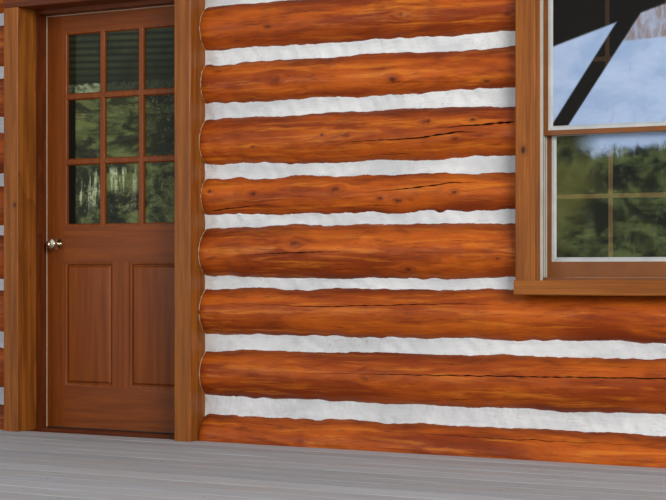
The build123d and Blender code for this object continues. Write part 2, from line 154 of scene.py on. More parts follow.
# %% [markdown]
# ## Smooth randomness
# Nothing on a hand-peeled log is quite straight. A handful of cosines with random lengths and
# phases, added up, gives a gentle unevenness that never repeats and is the same on each run,
# because every draw comes from a numbered generator.

# %% Uneven heights
WAVES = 12


def wander(seed, reach, x, turn=0.0, most_waves=1, least_waves=0):
    """Smooth random height of about one either way. Along x the waves have lengths round
    reach, and round the log they repeat a whole number of times."""
    draw = np.random.default_rng(seed)
    total = 0.0
    for _ in range(WAVES):
        along = draw.uniform(0.55, 1.8) * 2 * math.pi / reach
        around = draw.integers(least_waves, most_waves + 1) * draw.choice((-1, 1))
        total = total + np.cos(along * x + around * turn + draw.uniform(0, 2 * math.pi))
    return total * math.sqrt(2 / WAVES)


def bumps(seed, x, spacing, width, share):
    """Separate smooth blobs along x between nought and one: each spacing may hold one blob
    at a random place, and only a share of them is there."""
    draw = np.random.default_rng(seed)
    height = np.zeros_like(x)
    for cell in np.arange(math.floor(x.min() / spacing), math.ceil(x.max() / spacing) + 1):
        centre = (cell + draw.uniform(0.2, 0.8)) * spacing
        size = draw.uniform(0.4, 1.0) if draw.uniform() < share else 0.0
        height = np.maximum(height, size * np.exp(-((x - centre) / (width * draw.uniform(0.6, 1.4))) ** 2))
    return height


# %% [markdown]
# ## Shader nodes by the line
# A material is a small graph, and a line of Python for each node and link hides what it says.
# Here a signal stands for a node's output, and sums and products of signals add the nodes, so
# a graph reads like arithmetic. Effects that several materials share are node groups, which
# put out only masks and heights.

# %% Nodes and signals


def node(tree, kind, inputs=None, **settings):
    """Adds a node. inputs maps socket names or numbers to plain values or signals."""
    made = tree.nodes.new("ShaderNode" + kind)
    for name, value in settings.items():
        setattr(made, name, value)
    for key, value in (inputs or {}).items():
        if isinstance(value, Signal):
            tree.links.new(value.socket, made.inputs[key])
        else:
            made.inputs[key].default_value = value
    return made


def paint(colour):
    """A colour for a node: one given as on screen, from 0 to 255, turned linear, or a signal."""
    if isinstance(colour, Signal):
        return colour
    screen = np.array(colour) / 255
    linear = np.where(screen <= 0.04045, screen / 12.92, ((screen + 0.055) / 1.055) ** 2.4)
    return (*linear.tolist(), 1.0)


class Signal:
    """The output of a node. What is done with it adds nodes to the same graph."""

    def __init__(self, socket):
        self.socket = socket
        self.tree = socket.id_data

    def made(self, kind, inputs=None, output=0, **settings):
        """One output of a new node."""
        return Signal(node(self.tree, kind, inputs, **settings).outputs[output])

    def step(self, operation, other=0.0, turned=False, **settings):
        """One step of arithmetic with another value, which comes first if turned."""
        kind = "Math" if self.socket.type == "VALUE" else "VectorMath"
        first, second = (other, self) if turned else (self, other)
        return self.made(kind, {0: first, 1: second}, operation=operation, **settings)

    __add__ = partialmethod(step, "ADD")
    __sub__ = partialmethod(step, "SUBTRACT")
    __rsub__ = partialmethod(step, "SUBTRACT", turned=True)
    __mul__ = partialmethod(step, "MULTIPLY")
    __truediv__ = partialmethod(step, "DIVIDE")
    __pow__ = partialmethod(step, "POWER")
    at_least = partialmethod(step, "MAXIMUM")

    def length(self):
        """Length of a vector."""
        return self.made("VectorMath", {0: self}, "Value", operation="LENGTH")

    def parts(self):
        """The three parts of a vector or colour."""
        return [Signal(socket) for socket in node(self.tree, "SeparateXYZ", {0: self}).outputs]

    def ease(self, low, high, top=1.0, bottom=0.0):
        """Passes smoothly from bottom, at low, to top, at high, and holds it beyond."""
        return self.made("MapRange", {"Value": self, "From Min": low, "From Max": high,
                                      "To Min": bottom, "To Max": top}, interpolation_type="SMOOTHSTEP")

    def stretched(self, scale):
        """A vector scaled along each axis."""
        return self.made("Mapping", {"Vector": self, "Scale": scale})

    def noise(self, scale, detail=4.0, roughness=0.55, distortion=0.0, output="Fac"):
        """Cloudy noise round one half. scale is one number, or one for each axis."""
        each = isinstance(scale, tuple)
        return self.made("TexNoise", {"Vector": self.stretched(scale) if each else self,
                                      "Scale": 1.0 if each else scale, "Detail": detail,
                                      "Roughness": roughness, "Distortion": distortion}, output)

    def cells(self, scale, feature="F1"):
        """The outputs of a pattern of cells by name: distance, and a colour for each cell."""
        found = node(self.tree, "TexVoronoi", {"Vector": self.stretched(scale), "Scale": 1.0},
                     feature=feature)
        return {socket.name: Signal(socket) for socket in found.outputs}

    def mark(self, name, output="Fac"):
        """A mark stored on the mesh."""
        return self.made("Attribute", {}, output, attribute_name=name, attribute_type="GEOMETRY")

    def between(self, first, second):
        """The first colour where this is nought, the second where it is one."""
        return self.made("Mix", {0: self, 6: paint(first), 7: paint(second)}, 2, data_type="RGBA")

    def under(self, *layers):
        """This colour with others laid over it. A layer is its cover and its colour."""
        colour = self
        for cover, above in layers:
            colour = self.made("Mix", {0: cover, 6: colour, 7: paint(above)}, 2, data_type="RGBA")
        return colour

    def through(self, group, *values):
        """The outputs of a node group that takes this and some plain values."""
        placed = node(self.tree, "Group", dict(enumerate((self, *values))), node_tree=group)
        return [Signal(socket) for socket in placed.outputs]


# %% Groups and materials


def new_group(name, inputs, outputs):
    """A node group, signals of its inputs, and a function that feeds its outputs in order."""
    tree = bpy.data.node_groups.new(name, "ShaderNodeTree")
    for label, kind in inputs.items():
        tree.interface.new_socket(label, in_out="INPUT", socket_type="NodeSocket" + kind)
    for label in outputs:
        tree.interface.new_socket(label, in_out="OUTPUT", socket_type="NodeSocketFloat")
    given = tree.nodes.new("NodeGroupInput").outputs
    wanted = tree.nodes.new("NodeGroupOutput").inputs

    def put_out(*signals):
        for socket, signal in zip(wanted, signals):
            tree.links.new(signal.socket, socket)

    return tree, [Signal(given[label]) for label in inputs], put_out


def new_material(name, **plain):
    """A material with one Principled shader, and its object coordinates. plain gives constant
    inputs, such as coat_weight, that are set on the shader's own sockets."""
    material = bpy.data.materials.new(name)
    material.use_nodes = True
    tree = material.node_tree
    for label, value in plain.items():
        label = label.replace("_", " ").title().replace("Ior", "IOR")
        tree.nodes["Principled BSDF"].inputs[label].default_value = value
    return material, Signal(node(tree, "TexCoord").outputs["Object"])


def finished(material, colour, roughness, height=None, distance=0.001, strength=1.0, alpha=None):
    """Feeds colour, roughness, a bump of the given depth and alpha to the shader."""
    feeds = {"Base Color": colour, "Roughness": roughness}
    if height:
        feeds["Normal"] = height.made("Bump", {"Height": height, "Distance": distance,
                                               "Strength": strength}, "Normal")
    if alpha:
        feeds["Alpha"] = alpha
    for label, signal in feeds.items():
        signal.tree.links.new(signal.socket, signal.tree.nodes["Principled BSDF"].inputs[label])
    return material


def plain_finish(name, dark, light, rough, cloud, spread=None, speck=None, bump=0.0002, groove_shade=None,
                 **plain):
    """A finish that varies softly between two tones and two roughness values. cloud and speck
    are noises, spread sharpens the tones, and groove_shade is a painted shade where the groove mark is one."""
    material, spot = new_material(name, **plain)
    cloud = spot.noise(*cloud)
    colour = (cloud.ease(*spread) if spread else cloud).between(dark, light)
    # Painted shade at the bottom of the grooves, where the groove mark is one.
    if groove_shade:
        colour = colour.under((spot.mark("groove").ease(0.5, 1.0), groove_shade))
    height = spot.noise(*speck) if speck else None
    return finished(material, colour, cloud.ease(0.3, 0.7, rough[1], rough[0]), height, bump)


# %% [markdown]
# ## Sawn timber
# A squared post is cut from a round trunk, so its figure is a slice through growth rings.
# The group measures how far a point lies from a pith line beside the piece, lets that
# distance wander slowly along the grain, and reads rings off it. Straight lines then appear on
# one face and long arches on the other, as on real timber. The grain runs along local Z.

# %% Timber figure group
PITH = (0.05, 0.075, 0)
RING_WIDTH = 6 * MM

figure, (grain_place, drift_reach), put_out = new_group(
    "Timber figure", {"Vector": "Vector", "Wander": "Float"}, ("Rings", "Fibre", "Streak", "Knot"))
drift = grain_place.noise((4, 4, 1.1), 2.0, 0.5, output="Color") - (0.5, 0.5, 0.5)
drifted = grain_place + drift * drift_reach
cell = drifted.cells((7, 7, 2.2))
knot_gap = cell["Distance"]
reach = ((drifted + PITH) * (1, 1, 0)).length()
rings = ((reach + knot_gap.ease(0.0, 0.22, 0.0, 0.02)) / RING_WIDTH).step("FRACT")
put_out(rings ** 2.2, grain_place.noise((420, 420, 9), 3.0),
        grain_place.noise((38, 38, 1.6), 4.0, 0.6, 0.4),
        cell["Color"].parts()[0].step("GREATER_THAN", 0.86) * knot_gap.ease(0.035, 0.075, 0.0, 1.0))

# %% Squared timber material
TURNS = {"x": (0, math.pi / 2, 0), "y": (math.pi / 2, 0, 0), "z": (0, 0, 0)}


def squared_timber(name, grain, light, middle, dark, knot, gloss=0.42, coat=0.03, wander_by=0.035,
                   contrast=0.55, calm=0.45, bump=0.0005, knots_at=()):
    """Stained timber whose grain runs along one axis. light, middle and dark are its tones, and
    calm pulls light and dark together. knots_at holds x, z and size of knots at known places."""
    material, spot = new_material(name, coat_weight=coat, coat_roughness=0.3, specular_ior_level=0.17)
    along = spot.made("Mapping", {"Vector": spot, "Rotation": TURNS[grain]})
    rings, fibre, streak, small_knot = along.through(figure, wander_by)
    colour = streak.ease(0.3, 0.7).between(dark, light).under(
        (calm, middle), (rings * contrast, dark), (fibre.ease(0.35, 0.75, 0.35), dark), (small_knot, knot))
    for x, z, size in knots_at:
        gap = ((spot - (x, 0, z)) * (1 / size, 0, 0.7 / size)).length() + spot.noise(90.0, 3.0)
        colour = colour.under((gap.ease(3.0, 1.4, 0.4), dark), (gap.ease(1.6, 1.1, 0.9), knot))
    return finished(material, colour, fibre.ease(0.3, 0.7, gloss + 0.1, gloss - 0.08),
                    rings * -0.4 + fibre, bump)


POST_KNOTS = ((0.900, 1.549, 0.011), (-1.789, 1.372, 0.009))
post_tones = ((176, 108, 42), (146, 82, 29), (98, 52, 18), (52, 26, 11))
frame_tones = ((128, 64, 24), (100, 46, 17), (66, 27, 10), (46, 20, 10))
door_tones = ((148, 77, 24), (126, 62, 17), (94, 44, 12), (94, 44, 12))
door_finish = dict(contrast=0.2, calm=0.5, gloss=0.36, coat=0.04, wander_by=0.02)
timber = {
    "post": squared_timber("Post timber", "z", *post_tones, knots_at=POST_KNOTS),
    "post_level": squared_timber("Post timber, level grain", "x", *post_tones),
    "frame": squared_timber("Frame timber", "z", *frame_tones),
    "frame_level": squared_timber("Frame timber, level grain", "x", *frame_tones),
    "door": squared_timber("Door timber", "z", *door_tones, **door_finish),
    "door_level": squared_timber("Door timber, level grain", "x", *door_tones, **door_finish),
}
print("squared timber materials:", len(timber))

# %% [markdown]
# ## Peeled log skin
# A peeled log shows its outermost growth ring, polished by the drawknife and soaked with a
# warm stain. Its pattern follows the surface, so it reads a grain mark laid along the log and
# round it, bent round every knot. Where the log dried and split, a check mark paints shade
# into the groove, and painted shade also darkens the log's crown and a little of its underside.
# On sawn ends the rings are read from the distance to the pith.

# %% Log material
END_RING_WIDTH = 4.2 * MM


def log_material():
    """Amber stain in long streaks, with knots and rings on the sawn ends. Painted shade darkens
    the log's crown, a little of its underside and the groove of each check."""
    material, spot = new_material("Peeled log", coat_weight=0.04, coat_roughness=0.25,
                                  specular_ior_level=0.15)
    grain = spot.mark("grain", "Vector")
    section = spot.mark("section", "Vector")
    knot_x, knot_z, knot_tone = spot.mark("knot", "Vector").parts()
    facing = spot.made("TexCoord", {}, "Normal").parts()[0]
    patch = grain.noise((3.6, 15, 15), 4.0, 0.6, 1.0)
    streak = grain.noise((2.4, 32, 32), 6.0, 0.66, 0.6)
    fleck = grain.noise((12, 140, 140), 3.0, 0.6)
    fibre = grain.noise((14, 560, 560), 3.0, 0.6)

    away = section.length()
    # How far the surface faces up or down, used only for painted shade.
    shade_facing = section.parts()[1] / away + (patch - 0.5) * 0.8
    gap = (knot_x * knot_x + knot_z * knot_z).step("SQRT")
    gap = gap + (grain.noise((70, 90, 90), 4.0, 0.65) - 0.5) * 1.9
    ring = (away / END_RING_WIDTH + section.noise(9.0, 2.0) * 3.0).step("FRACT") ** 2.0
    sawn = away.ease(0.05, 0.09).between((150, 84, 42), (196, 136, 78)).under((ring * 0.6, (112, 58, 28)))
    base = grain.noise((1.3, 8, 8), 4.0, 0.55, 0.6).ease(0.36, 0.64).between((134, 54, 13), (186, 89, 22))
    colour = base.under(
        (patch.ease(0.5, 0.72, 0.6), (112, 44, 12)),
        (streak.ease(0.5, 0.32, 0.6), (218, 126, 38)),
        (streak.ease(0.54, 0.72, 0.7), (98, 36, 10)),
        (fleck.ease(0.56, 0.72, 0.6), (80, 28, 9)),
        (fibre.ease(0.4, 0.75, 0.25), (110, 44, 14)),
        # Painted shade: darker where the log faces up, and a little where it faces down.
        (shade_facing.ease(0.35, 0.95, 0.6), (84, 33, 11)),
        (shade_facing.ease(-0.6, -1.0, 0.4), (96, 36, 12)),
        (gap.ease(2.6, 0.9, 0.6) * knot_tone, (124, 50, 16)),
        (gap.ease(1.1, 0.5, 0.8) * knot_tone, (76, 30, 12)),
        (gap.ease(0.45, 0.1, 0.7) * knot_tone, (38, 17, 10)),
        (facing.step("ABSOLUTE").ease(0.8, 0.92), sawn),
        # Painted shade in the groove of each check.
        (spot.mark("check").ease(0.15, 0.75), (30, 12, 7)))
    return finished(material, colour, streak.ease(0.35, 0.7, 0.58, 0.38), streak * 0.9 + fibre * 0.35,
                    0.0022, 0.7)


log_skin = log_material()

# %% [markdown]
# ## Reading a log from the solid model
# Each log in the frame is a round timber that tapers and swells, so its points obey the
# equation of a circle whose centre and radius change along X. That equation is linear in its
# unknowns, and least squares finds them. The detailed log then lies exactly where the plain
# one does.

# %% Split nodes into solids and read their rounds


def solids_of(name):
    """The separate solids in a node, lowest first, as point arrays. Points that share a
    triangle pass on the smallest label until nothing changes."""
    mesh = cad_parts[name].data
    corners = np.zeros(len(mesh.vertices) * 3, np.float32)
    mesh.vertices.foreach_get("co", corners)
    loops = np.zeros(len(mesh.loops), np.int32)
    mesh.loops.foreach_get("vertex_index", loops)
    places, same = np.unique(np.round(corners.reshape(-1, 3), 5), axis=0, return_inverse=True)
    triangles = same.ravel()[loops].reshape(-1, 3)
    label = np.arange(len(places))
    while True:
        spread = label.copy()
        np.minimum.at(spread, triangles.ravel(), np.repeat(label[triangles].min(1), 3))
        if (spread == label).all():
            break
        label = spread[spread]
    found = [places[label == one] for one in np.unique(label)]
    return sorted(found, key=lambda points: points[:, 2].mean())


def read_round(points):
    """Axis height and radius along a log as polynomials of the share u along it, from -1 to
    1: y squared plus z squared equals twice axis times z, plus a quadratic in u."""
    x_low, x_high = points[:, 0].min(), points[:, 0].max()
    share = (2 * points[:, 0] - x_low - x_high) / (x_high - x_low)
    level = points[:, 2].mean()
    z = points[:, 2] - level
    table = np.stack([z, z * share, np.ones_like(z), share, share ** 2], 1)
    squares = points[:, 1] ** 2 + z ** 2
    steady = np.array([[0, 0, 0, 0, 1e-3]])
    solved = np.linalg.lstsq(np.vstack([table, steady]), np.append(squares, 0.0), rcond=None)[0]
    miss = np.abs(table @ solved - squares).max() / (2 * math.sqrt(solved[2]))
    print(f"log from {x_low:.3f} to {x_high:.3f}: axis {level + solved[0] / 2:.3f}, "
          f"largest misfit {miss / MM:.2f} mm")
    return {"x": (x_low, x_high), "level": level, "solved": solved}


def share_of(log, x):
    """Where x lies along a log, from -1 at its left end to 1 at its right end."""
    x_low, x_high = log["x"]
    return (2 * x - x_low - x_high) / (x_high - x_low)


def axis_of(log, x):
    """Height of a log's axis at x."""
    return log["level"] + (log["solved"][0] + log["solved"][1] * share_of(log, x)) / 2


def plain_radius(log, x):
    """Radius of the plain round at x."""
    share = share_of(log, x)
    tilt = axis_of(log, x) - log["level"]
    return np.sqrt(log["solved"][2] + log["solved"][3] * share + log["solved"][4] * share ** 2 + tilt ** 2)


COURSES = range(1, 9)
LOW_COURSES = 3
logs = {"sill": read_round(solids_of("sill_half_log")[0]),
        "header": read_round(solids_of("header_log")[0]),
        "plate": read_round(solids_of("top_plate_log")[0])}
for course in COURSES:
    logs[f"middle_{course}"] = read_round(solids_of(f"wall_log_{course}")[0])
for side, first in (("left", COURSES[0]), ("right", LOW_COURSES + 1)):
    for course, points in enumerate(solids_of(f"{side}_wall_logs"), first):
        logs[f"{side}_{course}"] = read_round(points)
for number, log in enumerate(logs.values(), 1):
    log["seed"] = 100 * number
print("logs read:", len(logs))

# %% [markdown]
# ## Knots, branch stubs and drying checks
# The logs that show best carry knots and long drying checks at known places, written here as
# X, height and size in metres and rise in millimetres. A stub is a knot that the axe left
# standing proud. The other logs get a few knots of their own by chance. A check is a line of
# places with a width in millimetres at each, nought where the wood is closed.

# %% Places of knots and checks
KNOTS = {
    "middle_8": ((-0.381, 2.151, 0.010, 2), (0.008, 2.063, 0.011, 2), (0.297, 2.157, 0.012, 2),
                 (0.794, 2.127, 0.010, 3)),
    "middle_7": ((-0.339, 1.909, 0.017, 4), (0.252, 1.882, 0.014, 3), (0.692, 1.851, 0.010, 2),
                 (-0.488, 1.836, 0.009, 3)),
    "middle_6": ((-0.094, 1.652, 0.007, 1), (0.038, 1.647, 0.007, 1), (0.427, 1.690, 0.013, 4),
                 (0.558, 1.611, 0.009, 2), (0.640, 1.691, 0.011, 2), (-0.291, 1.539, 0.010, 9),
                 (-0.461, 1.612, 0.007, 1)),
    "middle_5": ((-0.702, 1.416, 0.008, 1), (-0.468, 1.401, 0.011, 3), (-0.034, 1.410, 0.015, 4),
                 (0.183, 1.369, 0.009, 2), (0.458, 1.309, 0.012, 10), (0.276, 1.358, 0.010, 3),
                 (0.545, 1.387, 0.010, 3)),
    "middle_4": ((-0.230, 1.175, 0.016, 4), (0.330, 1.060, 0.014, 4), (0.760, 1.105, 0.008, 1)),
}
CHECKS = {
    "middle_6": (((-0.13, 1.550, 0), (0.094, 1.552, 2), (0.275, 1.559, 3.5), (0.364, 1.560, 0)),
                 ((-0.022, 1.606, 0), (0.043, 1.617, 2), (0.385, 1.621, 5.5), (0.56, 1.640, 6.5),
                  (0.649, 1.637, 0)),
                 ((0.470, 1.659, 0), (0.626, 1.666, 5.5), (0.83, 1.674, 10))),
    "middle_5": (((-0.75, 1.326, 0), (-0.66, 1.332, 7), (-0.531, 1.342, 4.5), (-0.291, 1.361, 0),
                  (0.043, 1.334, 0), (0.16, 1.337, 3.5), (0.274, 1.340, 0)),
                 ((0.099, 1.395, 0), (0.385, 1.412, 5), (0.541, 1.429, 4.5), (0.647, 1.426, 0))),
    "middle_7": (((0.10, 1.872, 0), (0.30, 1.868, 2.5), (0.52, 1.860, 0)),),
    "middle_4": (((-0.55, 1.125, 0), (-0.2, 1.135, 4.5), (0.1, 1.14, 0)),),
    "middle_3": (((-0.6, 0.905, 0), (-0.1, 0.895, 4), (0.55, 0.915, 3), (0.8, 0.91, 0)),),
    "middle_2": (((-0.2, 0.60, 0), (0.5, 0.61, 4), (1.4, 0.625, 5), (1.9, 0.63, 0)),),
    "middle_1": (((0.2, 0.36, 0), (0.8, 0.352, 3.5), (1.5, 0.358, 0)),),
    "header": (((-0.6, 2.47, 0), (0.1, 2.475, 5), (0.9, 2.463, 0)),),
    "plate": (((-1.8, 2.70, 0), (-0.9, 2.706, 5), (0.4, 2.70, 6), (1.3, 2.712, 0)),),
}
CHANCE_KNOTS_PER_METRE = 2.0


def knots_of(name, log):
    """Knots of a log as x, angle round it, size, rise and depth of tone. Listed ones lie on
    the porch side, and chance ones anywhere else on the log."""
    listed = []
    draw = np.random.default_rng(log["seed"] + 7)
    for x, height, size, rise in KNOTS.get(name, ()):
        sine = (height - axis_of(log, x)) / plain_radius(log, x)
        listed.append((x, math.asin(max(-0.98, min(0.98, sine))), size, rise * MM, draw.uniform(0.4, 1.0)))
    x_low, x_high = log["x"]
    turns = (1.3, 5.0) if name in KNOTS else (-1.4, 4.6)
    for _ in range(max(1, round((x_high - x_low) * CHANCE_KNOTS_PER_METRE))):
        listed.append((draw.uniform(x_low + 0.05, x_high - 0.05), draw.uniform(*turns),
                       draw.uniform(0.007, 0.014), draw.uniform(1, 4) * MM, draw.uniform(0.3, 1.0)))
    return listed


for name, log in logs.items():
    log["knots"] = knots_of(name, log)
print("knots:", sum(len(log["knots"]) for log in logs.values()))

# %% [markdown]
# ## The log surface
# A point on a log is found from its place along X and its turn round the axis, where nought
# faces the porch and a quarter turn points up. The radius is the plain one plus a slow
# unevenness, the long flats that a drawknife leaves, and the swelling at each knot. Both the
# log and the mortar beside it ask the same function, so they always meet.

# %% Radius of a peeled log
# Height in millimetres, reach along the log, and most and least waves round it
UNEVENNESS = ((2.1, 0.55, 2, 0), (1.1, 0.17, 4, 0), (0.35, 0.4, 30, 14), (0.25, 0.06, 16, 5))
NEAR_KNOT = 3.4


def peeled_radius(log, x, turn):
    """Plain radius, plus wandering, drawknife flats and knots. A knot is a rounded hill: its
    height falls off with the square of the distance over its size."""
    radius = plain_radius(log, x)
    for number, (height, reach, most, least) in enumerate(UNEVENNESS, log["seed"]):
        radius = radius + height * MM * wander(number, reach, x, turn, most, least)
    for knot_x, knot_turn, size, rise, _ in log["knots"]:
        across = (turn - knot_turn) * plain_radius(log, knot_x)
        spread = 1.35 * size
        hill = np.exp(-((x - knot_x) ** 2 / (1.5 * spread) ** 2 + across ** 2 / spread ** 2))
        radius = radius + rise * hill
    return radius


def knot_marks(log, x, turn):
    """Grain mark and knot mark. The grain mark is the place along the log and round it, with
    the lines pushed apart beside each knot so that they flow round it. The knot mark is the
    place seen from the nearest knot, in knot sizes, with the depth of its tone as a third value
    that fades out, so that the material can draw a knot finer than the grid."""
    around = turn * plain_radius(log, 0.5 * sum(log["x"]))
    nearest = np.full_like(x, np.inf)
    knot = np.zeros((*x.shape, 3))
    for knot_x, knot_turn, size, _, tone in log["knots"]:
        aside = (turn - knot_turn) * plain_radius(log, knot_x)
        around = around - 1.3 * aside * np.exp(-((x - knot_x) / (3.2 * size)) ** 2
                                               - (aside / (2.0 * size)) ** 2)
        seen = np.stack([(x - knot_x) / (1.7 * size), aside / (0.85 * size)])
        gap = np.hypot(*seen)
        closer = gap < nearest
        knot[closer] = lattice(*seen, tone * np.clip((NEAR_KNOT - gap) / 0.8, 0, 1))[closer]
        nearest = np.minimum(nearest, gap)
    offset = log["seed"] * 0.037
    return lattice(x + offset, around, offset), knot


# %% [markdown]
# ## Rows that follow a check
# A drying check is only a few millimetres wide, far finer than the grid. Instead of making
# the whole grid fine, seven of its rows are laid along the check itself: they wander with it,
# close together, and the rows between two checks share out the space that is left.

# %% Rows round a log
FRONT_EDGE = 1.17
HIDDEN_EDGE = math.pi - FRONT_EDGE
HIDDEN_ROWS = 4
CHECK_ROWS = np.array([-2.0, -1.0, -0.5, 0.0, 0.5, 1.0, 2.0])[:, None]
CHECK_DEPTHS = np.array([0.0, 0.0, 0.8, 1.0, 0.8, 0.0, 0.0])[:, None]
CHECK_MARKS = np.array([0.0, 0.35, 1.0, 1.0, 1.0, 0.35, 0.0])[:, None]
CLOSED_HALF_WIDTH = 0.7 * MM
CHECK_DEPTH = 11 * MM


def check_rows(log, line, x):
    """Turns, depths and marks of the seven rows of one check, each of shape 7 by columns."""
    places = np.array(line)
    height = np.interp(x, places[:, 0], places[:, 1]) + 0.8 * MM * wander(log["seed"] + 11, 0.16, x)
    width = np.interp(x, places[:, 0], places[:, 2], left=0.0, right=0.0) * MM
    half = np.maximum(width / 2 * (1 + 0.25 * wander(log["seed"] + 12, 0.06, x)), CLOSED_HALF_WIDTH)
    radius = plain_radius(log, x)
    turn = np.arcsin(np.clip((height - axis_of(log, x)) / radius, -0.85, 0.85))
    opened = np.clip(width / (3 * MM), 0, 1) ** 0.5
    return turn + CHECK_ROWS * half / radius, CHECK_DEPTHS * opened * CHECK_DEPTH, CHECK_MARKS * opened


def rows_round(log, lines, x, front_step, back_step):
    """Turns, groove depths and check marks of all rows. Fixed rows bound the porch side, the
    hidden crown, the inner side and the hidden foot, and check rows lie between them. Each gap
    between neighbouring rows is then divided evenly until its steps are small enough."""
    flat = np.zeros_like(x)
    stations = [(flat - FRONT_EDGE, flat, flat)]
    for line in lines:
        stations.extend(zip(*check_rows(log, line, x)))
    stations.extend((flat + turn, flat, flat)
                    for turn in (FRONT_EDGE, HIDDEN_EDGE, math.pi + FRONT_EDGE, 2 * math.pi - FRONT_EDGE))
    radius = plain_radius(log, x).mean()
    rows = []
    for here, there in zip(stations[:-1], stations[1:]):
        middle = (here[0].mean() + there[0].mean()) / 2
        step = (front_step if middle < FRONT_EDGE else back_step) * MM
        hidden = FRONT_EDGE < middle < HIDDEN_EDGE or middle > math.pi + FRONT_EDGE
        gap = (there[0] - here[0]).mean() * radius
        count = HIDDEN_ROWS if hidden else max(1, round(gap / step))
        for share in np.arange(count) / count:
            rows.append([first * (1 - share) + second * share for first, second in zip(here, there)])
    return np.array(rows).transpose(1, 0, 2)


# %% [markdown]
# ## Notches and rounded ends
# Where a log passes over the door's head beam or under the window sill it is notched, and its
# points are held to the notch's flat. Columns stand close on both sides of each notch so that
# its shoulder is upright. Where a log butts against a post its rim is eased round.

# %% One peeled log
END_EASE = 13 * MM
SHOULDER = 0.2 * MM


def peeled_log(name, step, front_step, back_step, notches=(), eased=(True, True)):
    """A log as a closed tube: its columns stand along X and its rows lie round it, both at
    steps in millimetres. A notch is x from, x to, a level, and whether the log stays above."""
    log = logs[name]
    x_low, x_high = log["x"]
    columns = np.linspace(x_low, x_high, round((x_high - x_low) / (step * MM)))
    eased_ends = [place for place, ease in zip((x_low, x_high), eased) if ease]
    for place in eased_ends:
        inwards = END_EASE if place == x_low else -END_EASE
        columns = np.append(columns, place + inwards * np.array([0.08, 0.25, 0.5]))
    for start, stop, _, _ in notches:
        edges = [edge + side * SHOULDER for edge in (start, stop) for side in (-1, 1)]
        columns = np.append(columns, [edge for edge in edges if x_low < edge < x_high])
    columns = np.unique(columns)
    turns, depths, marks = rows_round(log, CHECKS.get(name, ()), columns, front_step, back_step)
    x = np.broadcast_to(columns, turns.shape)
    radius = peeled_radius(log, x, turns) - depths
    for place in eased_ends:
        near = np.clip(1 - np.abs(x - place) / END_EASE, 0, 1)
        radius = radius - END_EASE * (1 - np.sqrt(1 - near ** 2))
    axis = axis_of(log, x)
    y = np.minimum(-radius * np.cos(turns), cad_high.y - 0.2 * MM)
    z = axis + radius * np.sin(turns)
    for start, stop, level, above in notches:
        held = np.maximum(z, level) if above else np.minimum(z, level)
        z = np.where((x > start) & (x < stop), held, z)
    grain, knot = knot_marks(log, x, turns)
    section = lattice(y, z - axis + 0.3 * (radius - plain_radius(log, x)), 0.0)
    return closed_tube(lattice(x, y, z), (0.93, 0.7, 0.35), grain=grain, section=section, knot=knot,
                       check=marks)


def notch(name, above):
    """The notch that a node leaves in the log over it or under it."""
    low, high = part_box(name)
    return low.x, high.x, (high if above else low).z, above


# %% All logs
SAWN = (False, False)
whole_length = (cad_low.x - 1, cad_high.x + 1)


def log_piece(piece, replaced, names, *how):
    """Peels the named logs and puts them into one piece."""
    make_piece(piece, [peeled_log(name, *how) for name in names], "log_timber", log_skin, replaced)


log_piece("sill_course_log", "sill_half_log", ["sill"], 16, 9, 18,
          (notch("door_sill", False), (*whole_length, 0.0, True)), SAWN)
log_piece("header_course_log", "header_log", ["header"], 12, 7, 18,
          (notch("door_head_beam", True), notch("window_head_beam", True)), SAWN)
log_piece("plate_course_log", "top_plate_log", ["plate"], 14, 8, 18,
          ((*whole_length, cad_high.z, False),), SAWN)
for course in COURSES:
    steps = (12, 7, 15) if course <= LOW_COURSES else (8, 6, 15)
    notches = [notch("window_sill", False)] if course == LOW_COURSES else []
    log_piece(f"peeled_log_{course}", f"wall_log_{course}", [f"middle_{course}"], *steps, notches,
              (True, course > LOW_COURSES))
for side, eased in (("left", (False, True)), ("right", (True, False))):
    names = [name for name in logs if name.startswith(side)]
    log_piece(f"peeled_logs_{side}", f"{side}_wall_logs", names, 12, 7, 18, (), eased)
print("log triangles:", sum(added_triangles.values()))

# %% [markdown]
# ## Mortar between the logs
# Chinking is pressed into the joint from outside and from inside and struck off with a
# trowel. Its face is slightly hollow and marked by the trowel, and its edges are feathered
# onto the logs in uneven lobes. Each strip is a closed tube: rows on its face, from inside
# the lower log to inside the upper one, and two rows behind.

# %% Mortar material


def mortar_material():
    """Off-white lime mortar: faint clouds, trowel drags, sand and hairline cracks."""
    material, spot = new_material("Lime mortar")
    cloud = spot.noise((3, 3, 9))
    drag = spot.noise((14, 40, 150), 4.0, 0.6, 0.8)
    hair = spot.noise((16, 60, 330), 3.0, 0.6, 0.5)
    cell = (spot + spot.noise(9.0, 2.0, 0.5, output="Color")).cells((5, 5, 16), "DISTANCE_TO_EDGE")
    crack = cell["Distance"].ease(0.0, 0.012, 0.0, 1.0) * spot.noise(3.1, 1.0).ease(0.52, 0.6)
    colour = cloud.ease(0.3, 0.7).between((198, 201, 205), (224, 227, 229)).under(
        (drag.ease(0.5, 0.75, 0.4), (172, 174, 176)), (hair.ease(0.66, 0.72, 0.4), (122, 114, 106)),
        (crack * 0.55, (120, 108, 96)))
    height = drag * 0.8 + spot.noise(1400.0, 2.0) * 0.12 - crack * 0.5
    return finished(material, colour, cloud.ease(0.3, 0.7, 0.92, 0.78), height, 0.0016, 0.8)


mortar = mortar_material()

# %% Strips of mortar
JOINT_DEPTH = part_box("chinking_middle")[1].y
SKIN = 25 * MM
BITE = 9 * MM
LOBE_REACH = 7 * MM
FACE_ROWS = {"porch": 14, "inside": 8}
FACE_STEP = {"porch": 5.5 * MM, "inside": 14 * MM}


